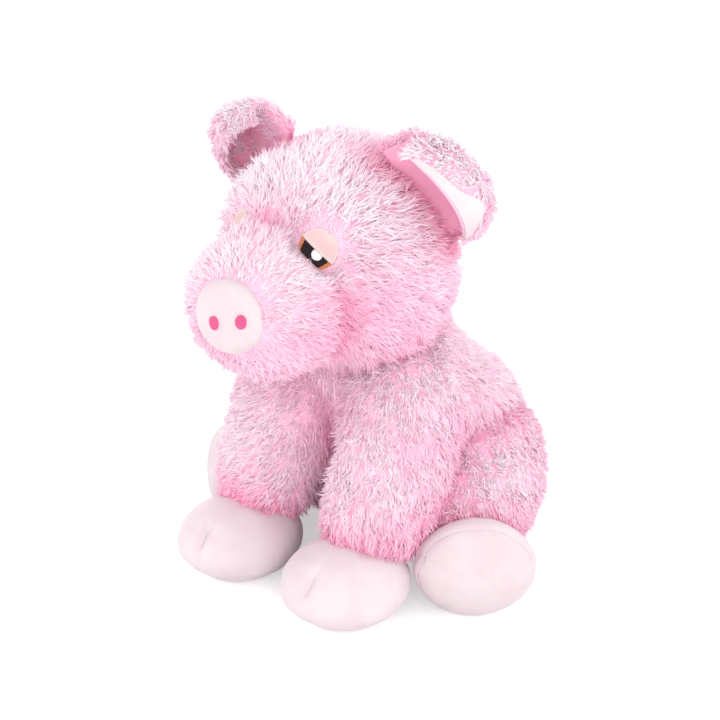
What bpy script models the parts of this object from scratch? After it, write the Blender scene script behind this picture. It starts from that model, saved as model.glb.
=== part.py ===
"""Plush pig, sitting. Metres, +Z up. The pig faces -Y and its left side is +X.

The origin is the middle of the seat, on the surface that the pig sits on. Each soft form is a
closed skin with its stuffing inside it, and the limbs, head, ears and tail hang on empties that
stand on their turning axes.
"""
import math

import bmesh
import bpy
from mathutils import Matrix, Vector

# Gaps between sewn neighbours, between pieces that turn, and at the floor
SEAM_GAP = 0.0003
SWING_GAP = 0.0007
SWEEP_GAP = 0.0009
FLOOR_CUT = 0.0005
OVERRUN = 0.010

# Walls of the long pile fabric and of the smooth velour
PILE_WALL = 0.0035
VELOUR_WALL = 0.0025

# Torso: a round neck end above a wide belly
NECK_HEIGHT = 0.088
NECK_FORWARD = 0.012
NECK_RADIUS = 0.042
BELLY_HALF_WIDTH = 0.054
BELLY_HALF_DEPTH = 0.050
BELLY_BACK = 0.011
BELLY_LEVEL_SHARE = 0.34
NECK_SEAM_SHARE = 0.42
SEAT_FLATNESS_SHARE = 1.9
SEAT_FULLNESS_SHARE = 2.4

# Wad of stuffing that carries the head
NECK_WAD_RADIUS = 0.016
NECK_STALK_RADIUS = 0.010
NECK_STALK_RISE = 0.060
NECK_LEAN = math.radians(22)
NECK_NOD = math.radians(10)

# Head
HEAD_FORWARD = 0.042
HEAD_HEIGHT = 0.1595
HEAD_HALF_WIDTH = 0.052
HEAD_HALF_DEPTH = 0.050
HEAD_HALF_HEIGHT = 0.052
CHEEK_SHARE = 0.13

# Muzzle, placed from the middle of the head
MUZZLE_REACH = 0.054
MUZZLE_DROP = 0.0125
MUZZLE_HALF_WIDTH = 0.034
MUZZLE_HALF_DEPTH = 0.030
MUZZLE_HALF_HEIGHT = 0.031

# Nose disc on the muzzle, set a little to the left and rolled
NOSE_SIDE = 0.0065
NOSE_LIFT = 0.003
NOSE_HALF_WIDTH = 0.0172
NOSE_HALF_HEIGHT = 0.017
NOSE_HALF_THICKNESS = 0.008
NOSE_PROUD = 0.003
NOSE_ROLL = math.radians(-10)
NOSTRIL_SPREAD = 0.0075
NOSTRIL_SIDE = 0.0035
NOSTRIL_HALF_WIDTH = 0.0022
NOSTRIL_HALF_HEIGHT = 0.0032
NOSTRIL_THICKNESS = 0.0010

# Embroidered eyes, placed by turn and rise about the middle of the head
EYE_TURN = math.radians(28)
EYE_RISE = math.radians(16.5)
EYE_DROOP = math.radians(40)
EYE_RADIUS = 0.0092
EYE_OPENING = 0.0058
PUPIL_RADIUS = 0.0058
HIGHLIGHT_RADIUS = 0.0023
HIGHLIGHT_DROP = 0.0031
IRIS_THICKNESS = 0.0008
PUPIL_THICKNESS = 0.0006
LID_THICKNESS = 0.0022

# Ears, folded over, placed by rise above the head's middle
EAR_RISE_ANGLE = math.radians(37.5)
EAR_TURN_BACK = math.radians(7)
EAR_SEAM_LEAN = math.radians(25)
EAR_LEAN_BACK = math.radians(-5)
EAR_SINK = 0.003
EAR_DROOP = math.radians(10)
EAR_HALF_WIDTH = 0.0256
EAR_TIP_WIDTH_SHARE = 0.88
EAR_ROUND_SHARE = 0.87
EAR_RISE = 0.028
EAR_FOLD_RADIUS = 0.012
EAR_FOLD_TURN = math.radians(140)
EAR_FALL = 0.005
EAR_FUR_THICKNESS = 0.005
EAR_LINING_THICKNESS = 0.0015

# Front legs: round shoulder, thick straight leg
SHOULDER_SPREAD = 0.035
SHOULDER_FORWARD = 0.038
SHOULDER_HEIGHT = 0.088
FRONT_LEG_RADIUS = 0.0255
FRONT_LEG_LENGTH = 0.072
FRONT_LEG_TOE_OUT = math.radians(-2)
FRONT_LEG_LEAN = math.radians(26)
FRONT_LEG_SWING = math.radians(40)
LEG_FULLNESS_SHARE = 4.0

# Front feet
FRONT_FOOT_SPREAD = 0.033
FRONT_FOOT_FORWARD = 0.080
FRONT_FOOT_HALF_WIDTH = 0.0285
FRONT_FOOT_HALF_LENGTH = 0.031
FRONT_FOOT_HEIGHT = 0.037
FRONT_FOOT_WAIST_SHARE = 0.45
FRONT_FOOT_FLATNESS_SHARE = 1.0
FRONT_SOLE_HEIGHT = 0.009
TOE_CLEFT_DEPTH_SHARE = 0.14
TOE_CLEFT_WIDTH_SHARE = 0.30

# Hind legs: round hip, short thick leg lying forward and outward
HIP_SPREAD = 0.042
HIP_BACK = 0.008
HIP_HEIGHT = 0.044
HIND_LEG_RADIUS = 0.031
HIND_LEG_LENGTH = 0.056
HIND_LEG_SPLAY = math.radians(33)
HIND_LEG_DROP = math.radians(18)
HIND_LEG_SWING = math.radians(25)
HIND_LEG_TAPER_SHARE = 0.25

# Hind feet: oval pads whose soles face forward and outward
HIND_FOOT_SPREAD = 0.0761
HIND_FOOT_FORWARD = 0.0406
HIND_FOOT_HALF_WIDTH = 0.0279
HIND_FOOT_HALF_HEIGHT = 0.0238
HIND_FOOT_HALF_THICKNESS = 0.014
HIND_FOOT_TURN = math.radians(42)
HIND_SOLE_SHARE = 0.35
HIND_CLEFT_ANGLE = math.radians(130)

# Tail: a small corkscrew
TAIL_HEIGHT = 0.042
TAIL_RADIUS = 0.0045
TAIL_SOCKET_SHARE = 1.65
TAIL_TIP_SHARE = 0.55
TAIL_CURL_RADIUS = 0.009
TAIL_CURL_TURNS = 1.25
TAIL_LENGTH = 0.018
TAIL_POINTS = 26

# Mesh density: sides around and rings from pole to pole
BIG_SIDES, BIG_RINGS = 20, 12
MID_SIDES, MID_RINGS = 14, 9
CORE_SIDES, CORE_RINGS = 12, 8
PLATE_SIDES = 16
EAR_COLUMNS, EAR_ROWS = 7, 10
ROOM_STEPS = 2

PARTS = "plush_pig"
CUTTERS = "cutters"
SIDES = (("left", 1), ("right", -1))


def clear_scene():
    for thing in list(bpy.data.objects):
        bpy.data.objects.remove(thing, do_unlink=True)


def collection(name):
    made = bpy.data.collections.get(name)
    if made is None:
        made = bpy.data.collections.new(name)
        bpy.context.scene.collection.children.link(made)
    return made


def material(name, colour, roughness):
    made = bpy.data.materials.get(name)
    if made is None:
        made = bpy.data.materials.new(name)
        made.use_nodes = True
        shader = made.node_tree.nodes["Principled BSDF"]
        shader.inputs["Base Color"].default_value = (*colour, 1)
        shader.inputs["Roughness"].default_value = roughness
        shader.inputs["Metallic"].default_value = 0
    return made


FINISHES = {
    "long_pile": ((0.93, 0.60, 0.74), 0.95),
    "velour": ((0.93, 0.80, 0.82), 0.9),
    "fibre_fill": ((0.92, 0.92, 0.90), 1.0),
    "iris_thread": ((0.72, 0.28, 0.10), 0.5),
    "pupil_thread": ((0.02, 0.01, 0.015), 0.5),
    "lid_thread": ((0.86, 0.64, 0.64), 0.5),
    "white_thread": ((0.95, 0.95, 0.95), 0.5),
    "nostril_thread": ((0.75, 0.12, 0.30), 0.5),
}


def smooth(share):
    """0 to 1 with level ends."""
    share = min(max(share, 0), 1)
    return share * share * (3 - 2 * share)


def mix(first, second, share):
    return first + (second - first) * share


def fuller(direction, fullness):
    """The ring's radius at this height of a unit ball that is fuller than round."""
    height = min(abs(direction.z), 1)
    flat = math.hypot(direction.x, direction.y)
    if flat == 0:
        return 0, 0
    radius = (1 - height ** fullness) ** (1 / fullness)
    return direction.x / flat * radius, direction.y / flat * radius


# Where a point of the unit ball goes on each form, on the pig's left side

def torso_place(d):
    if d.z >= NECK_SEAM_SHARE:
        return neck_point() + d * NECK_RADIUS
    across, along = (d.x, d.y) if d.z > 0 else fuller(d, SEAT_FULLNESS_SHARE)
    level = (1 - BELLY_LEVEL_SHARE ** SEAT_FULLNESS_SHARE) ** (1 / SEAT_FULLNESS_SHARE)
    swell = smooth((NECK_SEAM_SHARE - d.z) / (NECK_SEAM_SHARE + BELLY_LEVEL_SHARE))
    half_width = mix(NECK_RADIUS, BELLY_HALF_WIDTH / level, swell)
    half_depth = mix(NECK_RADIUS, BELLY_HALF_DEPTH / level, swell)
    middle = mix(-NECK_FORWARD, BELLY_BACK, swell)
    if d.z > 0:
        height = NECK_HEIGHT + d.z * NECK_RADIUS
    else:
        height = mix(-FLOOR_CUT, NECK_HEIGHT, (1 + d.z) ** SEAT_FLATNESS_SHARE)
    return Vector((across * half_width, middle + along * half_depth, height))


def head_place(d):
    cheek = 1 + CHEEK_SHARE * -d.z
    return Vector((d.x * HEAD_HALF_WIDTH * cheek,
                   d.y * HEAD_HALF_DEPTH - HEAD_FORWARD,
                   d.z * HEAD_HALF_HEIGHT + HEAD_HEIGHT))


def muzzle_place(d):
    return Vector((d.x * MUZZLE_HALF_WIDTH,
                   d.y * MUZZLE_HALF_DEPTH - HEAD_FORWARD - MUZZLE_REACH,
                   d.z * MUZZLE_HALF_HEIGHT + HEAD_HEIGHT - MUZZLE_DROP))


def nose_frame():
    """A point inside the muzzle behind the nose's middle, and a frame with -Y out of it."""
    around = math.asin(NOSE_SIDE / MUZZLE_HALF_WIDTH)
    facing = math.atan(math.tan(around) * MUZZLE_HALF_DEPTH / MUZZLE_HALF_WIDTH)
    frame = Matrix.Rotation(facing, 3, "Z")
    front = Vector((NOSE_SIDE, -MUZZLE_HALF_DEPTH * math.cos(around) - HEAD_FORWARD - MUZZLE_REACH,
                    HEAD_HEIGHT - MUZZLE_DROP + NOSE_LIFT))
    return front + frame @ Vector((0, NOSE_HALF_THICKNESS - NOSE_PROUD, 0)), frame


def nose_place(d):
    centre, frame = nose_frame()
    return centre + frame @ Vector((d.x * NOSE_HALF_WIDTH, d.y * NOSE_HALF_THICKNESS,
                                    d.z * NOSE_HALF_HEIGHT))


def limb(d, ball, length, taper=0):
    """A limb that hangs down -Z from its round end at the origin."""
    if d.z >= 0:
        return d * ball
    across, along = fuller(d, LEG_FULLNESS_SHARE)
    radius = ball * (1 - taper * smooth(-d.z))
    return Vector((across * radius, along * radius, d.z * length))


def shoulder():
    return Vector((SHOULDER_SPREAD, -SHOULDER_FORWARD, SHOULDER_HEIGHT))


def front_leg_place(d):
    turn = Matrix.Rotation(-FRONT_LEG_LEAN, 3, "X") @ Matrix.Rotation(-FRONT_LEG_TOE_OUT, 3, "Y")
    return shoulder() + turn @ limb(d, FRONT_LEG_RADIUS, FRONT_LEG_LENGTH)


def hip():
    return Vector((HIP_SPREAD, HIP_BACK, HIP_HEIGHT))


def hind_leg_place(d):
    turn = (Matrix.Rotation(HIND_LEG_SPLAY, 3, "Z")
            @ Matrix.Rotation(HIND_LEG_DROP - math.pi / 2, 3, "X"))
    return hip() + turn @ limb(d, HIND_LEG_RADIUS, HIND_LEG_LENGTH, HIND_LEG_TAPER_SHARE)


def cleft(angle, middle):
    """How far the toes' outline is drawn in near the cleft's middle angle."""
    apart = math.remainder(angle - middle, 2 * math.pi)
    return 1 - TOE_CLEFT_DEPTH_SHARE * math.exp(-(apart / TOE_CLEFT_WIDTH_SHARE) ** 2)


def front_foot_place(d):
    waist = FRONT_FOOT_HEIGHT * FRONT_FOOT_WAIST_SHARE
    if d.z >= 0:
        height = mix(waist, FRONT_FOOT_HEIGHT, d.z)
    else:
        height = mix(-FLOOR_CUT, waist, (1 + d.z) ** FRONT_FOOT_FLATNESS_SHARE)
    drawn = cleft(math.atan2(d.y, d.x), -math.pi / 2)
    return Vector((FRONT_FOOT_SPREAD + d.x * FRONT_FOOT_HALF_WIDTH * drawn,
                   d.y * FRONT_FOOT_HALF_LENGTH * drawn - FRONT_FOOT_FORWARD, height))


def hind_foot_centre():
    return Vector((HIND_FOOT_SPREAD, -HIND_FOOT_FORWARD, HIND_FOOT_HALF_HEIGHT - FLOOR_CUT))


def hind_foot_turn():
    return Matrix.Rotation(HIND_FOOT_TURN, 3, "Z")


def hind_foot_place(d):
    """The unit ball's pole becomes the middle of the sole."""
    drawn = cleft(math.atan2(-d.y, d.x), HIND_CLEFT_ANGLE)
    pad = Vector((d.x * HIND_FOOT_HALF_WIDTH * drawn, -d.z * HIND_FOOT_HALF_THICKNESS,
                  -d.y * HIND_FOOT_HALF_HEIGHT * drawn))
    return hind_foot_centre() + hind_foot_turn() @ pad


# Objects

def new_object(name, mesh, group, finish=None):
    made = bpy.data.objects.new(name, mesh)
    collection(group).objects.link(made)
    if group == CUTTERS:
        made.hide_render = True
        made.display_type = "WIRE"
    if finish:
        mesh.materials.append(material(finish, *FINISHES[finish]))
    return made


def put(made, pivot, parent=None):
    """Give the object its origin at the pivot and hang it on its empty."""
    made.data.transform(Matrix.Translation(-pivot))
    made.location = pivot
    if parent:
        bpy.context.view_layer.update()
        made.parent = parent
        made.location = pivot - parent.matrix_world.translation
    return made


def grow(shape, distance):
    shape.normal_update()
    moves = [vertex.normal * distance for vertex in shape.verts]
    for vertex, move in zip(shape.verts, moves):
        vertex.co += move


def face_out(shape):
    if shape.calc_volume(signed=True) < 0:
        bmesh.ops.reverse_faces(shape, faces=shape.faces)


def form_mesh(name, place, side, sides, rings, offset=0):
    shape = bmesh.new()
    bmesh.ops.create_uvsphere(shape, u_segments=sides, v_segments=rings, radius=1)
    for vertex in shape.verts:
        point = place(vertex.co)
        vertex.co = Vector((point.x * side, point.y, point.z))
    face_out(shape)
    if offset:
        grow(shape, offset)
    mesh = bpy.data.meshes.new(name)
    shape.to_mesh(mesh)
    shape.free()
    mesh.shade_smooth()
    return mesh


def form(name, place, density, finish, side=1, offset=0):
    return new_object(name, form_mesh(name, place, side, *density, offset), PARTS, finish)


def cutter(name, place, density, side=1, offset=0):
    made = bpy.data.objects.get(name)
    if made is None:
        made = new_object(name, form_mesh(name, place, side, *density, offset), CUTTERS)
    return made


def cut(made, *tools, operation="DIFFERENCE"):
    for tool in tools:
        change = made.modifiers.new(tool.name, "BOOLEAN")
        change.operation = operation
        change.object = tool
        change.solver = "EXACT"
    return made


def box_cutter(name, low, high):
    shape = bmesh.new()
    bmesh.ops.create_cube(shape, size=1)
    span = high - low
    for vertex in shape.verts:
        corner = Vector([vertex.co[axis] * span[axis] for axis in range(3)])
        vertex.co = (low + high) / 2 + corner
    mesh = bpy.data.meshes.new(name)
    shape.to_mesh(mesh)
    shape.free()
    return new_object(name, mesh, CUTTERS)


def rod_mesh(name, start, end, radius, sides):
    shape = bmesh.new()
    bmesh.ops.create_cone(shape, cap_ends=True, segments=sides, radius1=radius, radius2=radius,
                          depth=(end - start).length)
    turn = (end - start).to_track_quat("Z", "Y").to_matrix().to_4x4()
    bmesh.ops.transform(shape, matrix=Matrix.Translation((start + end) / 2) @ turn,
                        verts=shape.verts)
    mesh = bpy.data.meshes.new(name)
    shape.to_mesh(mesh)
    shape.free()
    return mesh


def rod_cutter(name, start, end, radius):
    return new_object(name, rod_mesh(name, start, end, radius, CORE_SIDES), CUTTERS)


def ball_cutter(name, centre, radius, density):
    def place(d):
        return centre + d * radius
    return new_object(name, form_mesh(name, place, 1, *density), CUTTERS)


def empty(name, where, parent=None):
    made = bpy.data.objects.new(name, None)
    made.empty_display_size = NECK_RADIUS
    made.location = where
    collection(PARTS).objects.link(made)
    if parent:
        made.parent = parent
    return made


BIG = (BIG_SIDES, BIG_RINGS)
MID = (MID_SIDES, MID_RINGS)
CORE = (CORE_SIDES, CORE_RINGS)


def neck_point():
    return Vector((0, -NECK_FORWARD, NECK_HEIGHT))


def neck_axis():
    """From the neck towards the middle of the head."""
    return Vector((0, -math.sin(NECK_LEAN), math.cos(NECK_LEAN)))


def mirrored(point, side):
    return Vector((point.x * side, point.y, point.z))


def floor_cutter():
    made = bpy.data.objects.get("floor")
    if made is None:
        reach = HEAD_HEIGHT
        made = box_cutter("floor", Vector((-reach, -reach, -reach)), Vector((reach, reach, 0)))
    return made


# Torso and neck

def tail_point():
    """Where the tail leaves the middle of the back."""
    best = min((torso_place(Vector((0, math.cos(angle), math.sin(angle))))
                for angle in [math.radians(-step) for step in range(90)]),
               key=lambda point: abs(point.z - TAIL_HEIGHT))
    return best


def neck_hole_radius():
    return NECK_STALK_RADIUS + (NECK_RADIUS + PILE_WALL) * math.sin(NECK_NOD) + SWING_GAP


def sweep_cutter(name, place, side, pivot, axis, swing):
    """What a form sweeps through from rest to the end of its swing, as one hull."""
    rest = form_mesh(name, place, 1, *MID, SWEEP_GAP)
    shape = bmesh.new()
    for step in range(ROOM_STEPS + 1):
        turn = Matrix.Rotation(swing * step / ROOM_STEPS, 3, axis)
        for vertex in rest.vertices:
            shape.verts.new(mirrored(pivot + turn @ (vertex.co - pivot), side))
    bmesh.ops.remove_doubles(shape, verts=shape.verts, dist=SWEEP_GAP)
    hull = bmesh.ops.convex_hull(shape, input=shape.verts)
    inner = [part for part in hull["geom_interior"] if isinstance(part, bmesh.types.BMVert)]
    bmesh.ops.delete(shape, geom=inner, context="VERTS")
    face_out(shape)
    shape.to_mesh(rest)
    shape.free()
    return new_object(name, rest, CUTTERS)


def leg_room(kind, word, side):
    if kind == "front":
        return sweep_cutter("front_leg_room_" + word, front_leg_place, side, shoulder(), "X",
                            -FRONT_LEG_SWING)
    return sweep_cutter("hind_leg_room_" + word, hind_leg_place, side, hip(), "Z", HIND_LEG_SWING)


def make_torso():
    neck = neck_point()
    hole = rod_cutter("neck_hole", neck, neck + neck_axis() * (NECK_RADIUS + OVERRUN),
                      neck_hole_radius())
    wad = ball_cutter("neck_wad_room", neck, NECK_WAD_RADIUS + SWING_GAP, CORE)
    tail = ball_cutter("tail_socket", tail_point(), TAIL_RADIUS * TAIL_SOCKET_SHARE, MID)
    sockets = [leg_room(kind, word, side) for word, side in SIDES for kind in ("front", "hind")]
    skin = form("body_skin", torso_place, BIG, "long_pile")
    core = cutter("body_core", torso_place, CORE, offset=-PILE_WALL)
    cut(skin, core, *sockets, hole, tail, floor_cutter())
    fill = form("body_stuffing", torso_place, CORE, "fibre_fill", offset=-PILE_WALL - SEAM_GAP)
    cut(fill, *sockets, wad, hole, tail)
    return skin, fill


def make_neck(pivot):
    neck = neck_point()

    def place(d):
        return neck + d * NECK_WAD_RADIUS
    wad = form("neck_stuffing", place, CORE, "fibre_fill")
    stalk = new_object("neck_stalk", rod_mesh("neck_stalk", neck,
                                              neck + neck_axis() * NECK_STALK_RISE,
                                              NECK_STALK_RADIUS, CORE_SIDES), CUTTERS)
    cut(wad, stalk, operation="UNION")
    for piece in (wad, stalk):
        put(piece, neck, pivot)


# Head

def make_head(pivot):
    neck = neck_point()
    torso = cutter("neck_socket", torso_place, BIG, offset=SWING_GAP)
    core = cutter("head_core", head_place, CORE, offset=-PILE_WALL)
    snout_core = cutter("muzzle_core", muzzle_place, CORE, offset=-PILE_WALL)
    stalk_room = rod_cutter("neck_stalk_room", neck,
                            neck + neck_axis() * (NECK_STALK_RISE + SWING_GAP),
                            NECK_STALK_RADIUS + SWING_GAP)
    grooves = [ear_groove(word, side) for word, side in SIDES]
    skin = form("head_skin", head_place, BIG, "long_pile")
    cut(skin, core, snout_core, torso, *grooves)
    fill = form("head_stuffing", head_place, CORE, "fibre_fill", offset=-PILE_WALL - SEAM_GAP)
    snout_fill = cutter("muzzle_fill", muzzle_place, CORE, offset=-PILE_WALL - SEAM_GAP)
    cut(fill, snout_fill, operation="UNION")
    cut(fill, torso, stalk_room, *grooves)
    muzzle = form("muzzle_skin", muzzle_place, MID, "long_pile")
    cut(muzzle, snout_core, cutter("muzzle_seat", head_place, BIG, offset=SEAM_GAP))
    for piece in (skin, fill, muzzle):
        put(piece, neck, pivot)


def muzzle_room():
    return cutter("muzzle_room", muzzle_place, MID, offset=SEAM_GAP)


def make_nose(pivot):
    neck = neck_point()
    disc = form("snout_disc", nose_place, MID, "velour")
    cut(disc, muzzle_room())
    put(disc, neck, pivot)
    centre, frame = nose_frame()
    roll = Matrix.Rotation(NOSE_ROLL, 3, "Y")
    for word, side in SIDES:
        outline = [roll @ Vector((NOSTRIL_SIDE + side * NOSTRIL_SPREAD
                                  + NOSTRIL_HALF_WIDTH * math.cos(angle), 0,
                                  NOSTRIL_HALF_HEIGHT * math.sin(angle)))
                   for angle in angles(PLATE_SIDES // 2)]
        patch = prism("nostril_" + word, outline, centre, frame,
                      NOSE_HALF_THICKNESS + OVERRUN, "nostril_thread")
        cover(patch, "nostril", nose_place, MID, SEAM_GAP, NOSTRIL_THICKNESS)
        put(patch, neck, pivot)


def angles(count, start=0, turn=2 * math.pi):
    return [start + turn * step / count for step in range(count)]


def prism(name, outline, centre, turn, reach, finish=None):
    """A flat outline in local X and Z, drawn out from the centre along local -Y."""
    shape = bmesh.new()
    near = [shape.verts.new(centre + turn @ point) for point in outline]
    face = shape.faces.new(near)
    out = turn @ Vector((0, -reach, 0))
    pulled = bmesh.ops.extrude_face_region(shape, geom=[face])
    bmesh.ops.translate(shape, vec=out,
                        verts=[part for part in pulled["geom"]
                               if isinstance(part, bmesh.types.BMVert)])
    bmesh.ops.recalc_face_normals(shape, faces=shape.faces)
    face_out(shape)
    mesh = bpy.data.meshes.new(name)
    shape.to_mesh(mesh)
    shape.free()
    return new_object(name, mesh, PARTS if finish else CUTTERS, finish)


def cover(patch, layer, place, density, lift, thickness):
    """Keep of a prism only a thin layer that lies on a form."""
    cut(patch, cutter(layer + "_top", place, density, offset=lift + thickness),
        operation="INTERSECT")
    cut(patch, cutter(layer + "_underside", place, density, offset=lift))


def eye_frame():
    """The eye's middle inside the head, and a frame with -Y out of the face and X along it."""
    out = Vector((math.sin(EYE_TURN) * math.cos(EYE_RISE), -math.cos(EYE_TURN) * math.cos(EYE_RISE),
                  math.sin(EYE_RISE)))
    level = Vector((math.cos(EYE_TURN), math.sin(EYE_TURN), 0))
    frame = Matrix((level, -out, out.cross(level).normalized())).transposed()
    frame = frame @ Matrix.Rotation(EYE_DROOP, 3, "Y")
    return Vector((0, -HEAD_FORWARD, HEAD_HEIGHT)), frame


def mirror_frame(frame, side):
    """The same frame on the other side: X and the outline both change hands."""
    if side > 0:
        return frame
    return Matrix.Diagonal((-1, 1, 1)) @ frame


def arc(radius, start, turn, count, drop=0):
    return [Vector((radius * math.cos(angle), 0, radius * math.sin(angle) + drop))
            for angle in [start + turn * step / count for step in range(count + 1)]]


def below(radius, limit):
    """The lower part of a disc, from just under its level diameter to the eye's lower edge."""
    start = math.asin(min(SEAM_GAP / radius, 1))
    points = arc(radius, math.pi + start, math.pi - 2 * start, PLATE_SIDES // 2)
    return [Vector((point.x, 0, max(point.z, -limit))) for point in points]


def make_eyes(pivot):
    neck = neck_point()
    reach = max(HEAD_HALF_WIDTH, HEAD_HALF_DEPTH) + OVERRUN
    lift_pupil = 2 * SEAM_GAP + IRIS_THICKNESS
    lift_spark = lift_pupil + PUPIL_THICKNESS + SEAM_GAP
    spark = [point + Vector((0, 0, -HIGHLIGHT_DROP)) for point in
             arc(HIGHLIGHT_RADIUS, 0, 2 * math.pi, PLATE_SIDES // 2)[:-1]]
    for word, side in SIDES:
        centre, frame = eye_frame()
        frame = mirror_frame(frame, side)
        pieces = (
            ("eyelid", arc(EYE_RADIUS, 0, math.pi, PLATE_SIDES // 2), "lid_thread",
             SEAM_GAP, LID_THICKNESS),
            ("iris", below(EYE_RADIUS, EYE_OPENING), "iris_thread", SEAM_GAP, IRIS_THICKNESS),
            ("pupil", below(PUPIL_RADIUS, EYE_OPENING), "pupil_thread",
             lift_pupil, PUPIL_THICKNESS),
            ("highlight", spark, "white_thread", lift_spark, PUPIL_THICKNESS),
        )
        for name, outline, finish, lift, thickness in pieces:
            patch = prism(name + "_" + word, outline, centre, frame, reach, finish)
            cover(patch, name, head_place, BIG, lift, thickness)
            if name in ("iris", "pupil"):
                cut(patch, muzzle_room())
            put(patch, neck, pivot)


# Ears

def ear_frame():
    """The base seam's middle, sunk in the head, with X down the seam, Y back and Z out."""
    out = Vector((math.cos(EAR_RISE_ANGLE) * math.cos(EAR_TURN_BACK),
                  math.cos(EAR_RISE_ANGLE) * math.sin(EAR_TURN_BACK),
                  math.sin(EAR_RISE_ANGLE)))
    surface = head_place(out)
    normal = Vector((out.x / HEAD_HALF_WIDTH, out.y / HEAD_HALF_DEPTH, out.z / HEAD_HALF_HEIGHT))
    normal.normalize()
    level = Vector((0, 1, 0))
    seam = level.cross(normal).normalized()
    base = Matrix((seam, normal.cross(seam), normal)).transposed()
    turn = Matrix.Rotation(EAR_SEAM_LEAN, 3, "Z") @ Matrix.Rotation(EAR_DROOP, 3, "Y")
    return surface - normal * EAR_SINK, base @ turn


def ear_place(across, along, lift):
    """A point of the folded ear: across -1 to 1, along 0 at the seam to 1 at the tip."""
    round_off = math.sqrt(1 - (across * EAR_ROUND_SHARE) ** 2)
    rise = EAR_RISE * round_off
    radius = EAR_FOLD_RADIUS * round_off
    bend = radius * EAR_FOLD_TURN
    travel = along * (rise + bend + EAR_FALL * round_off)
    heading = min(max(travel - rise, 0) / radius, EAR_FOLD_TURN)
    past = max(travel - rise - bend, 0)
    out = min(travel, rise) + (radius + lift) * math.sin(heading) + past * math.cos(heading)
    front = radius - (radius + lift) * math.cos(heading) + past * math.sin(heading)
    half = EAR_HALF_WIDTH * mix(1, EAR_TIP_WIDTH_SHARE, smooth(along * 2 - 1))
    lean = Matrix.Rotation(-EAR_LEAN_BACK * smooth(out / EAR_RISE), 3, "X")
    return lean @ Vector((across * half, -front, out))


def ear_layer(name, side, lift, thickness, outward, finish, pivot):
    centre, frame = ear_frame()
    shape = bmesh.new()
    bmesh.ops.create_grid(shape, x_segments=EAR_COLUMNS, y_segments=EAR_ROWS, size=1)
    for vertex in shape.verts:
        local = ear_place(vertex.co.x, (vertex.co.y + 1) / 2, lift)
        vertex.co = mirrored(centre + frame @ local, side)
    if side < 0:
        bmesh.ops.reverse_faces(shape, faces=shape.faces)
    mesh = bpy.data.meshes.new(name)
    shape.to_mesh(mesh)
    shape.free()
    mesh.shade_smooth()
    made = new_object(name, mesh, PARTS, finish)
    wall = made.modifiers.new("thickness", "SOLIDIFY")
    wall.thickness = thickness
    wall.offset = outward
    wall.use_even_offset = True
    put(made, mirrored(centre, side), pivot)


def ear_half_thickness():
    return EAR_FUR_THICKNESS + EAR_LINING_THICKNESS + SEAM_GAP


def ear_groove(word, side):
    """The room that the ear's base turns in."""
    centre, frame = ear_frame()
    half = frame @ Vector((EAR_HALF_WIDTH + SWING_GAP, 0, 0))
    return rod_cutter("ear_groove_" + word, mirrored(centre - half, side),
                      mirrored(centre + half, side), ear_half_thickness() + SWING_GAP)


def make_ears(head_pivot):
    neck = neck_point()
    for word, side in SIDES:
        centre, frame = ear_frame()
        pivot = empty("ear_pivot_" + word, mirrored(centre, side) - neck, head_pivot)
        ear_layer("ear_back_" + word, side, SEAM_GAP / 2, EAR_FUR_THICKNESS, -1, "long_pile", pivot)
        ear_layer("ear_lining_" + word, side, -SEAM_GAP / 2, EAR_LINING_THICKNESS, 1,
                  "velour", pivot)


# Limbs

def make_limb(word, side, kind, leg_place, foot_place, pivot_point, sole_box, neighbours=()):
    pivot = empty(kind + "_leg_pivot_" + word, mirrored(pivot_point, side))
    leg_core = cutter(kind + "_leg_core_" + word, leg_place, CORE, side, -PILE_WALL)
    foot_core = cutter(kind + "_foot_core_" + word, foot_place, CORE, side, -VELOUR_WALL)
    foot_room = cutter(kind + "_foot_room_" + word, foot_place, MID, side, SEAM_GAP)
    sleeve = form(kind + "_leg_" + word, leg_place, MID, "long_pile", side)
    cut(sleeve, leg_core, foot_room, floor_cutter(), *neighbours)
    foot = form(kind + "_foot_" + word, foot_place, MID, "velour", side)
    cut(foot, foot_core, leg_core, floor_cutter(), sole_box(word, side, SEAM_GAP))
    sole = form(kind + "_sole_" + word, foot_place, MID, "velour", side)
    cut(sole, sole_box(word, side, 0), operation="INTERSECT")
    cut(sole, foot_core, leg_core, floor_cutter())
    fill = form(kind + "_leg_stuffing_" + word, leg_place, CORE, "fibre_fill", side,
                -PILE_WALL - SEAM_GAP)
    foot_fill = cutter(kind + "_foot_fill_" + word, foot_place, CORE, side,
                       -VELOUR_WALL - SEAM_GAP)
    cut(fill, foot_fill, operation="UNION")
    for piece in (sleeve, foot, sole, fill):
        put(piece, mirrored(pivot_point, side), pivot)


def front_sole_box(word, side, extra):
    """The slice below the sole's seam."""
    half = Vector((FRONT_FOOT_HALF_WIDTH + OVERRUN, FRONT_FOOT_HALF_LENGTH + OVERRUN, 0))
    middle = Vector((FRONT_FOOT_SPREAD * side, -FRONT_FOOT_FORWARD, 0))
    low = middle - half - Vector((0, 0, OVERRUN))
    high = middle + half + Vector((0, 0, FRONT_SOLE_HEIGHT + extra))
    return box_cutter("front_sole_slice_" + word + ("_wide" if extra else ""), low, high)


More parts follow.
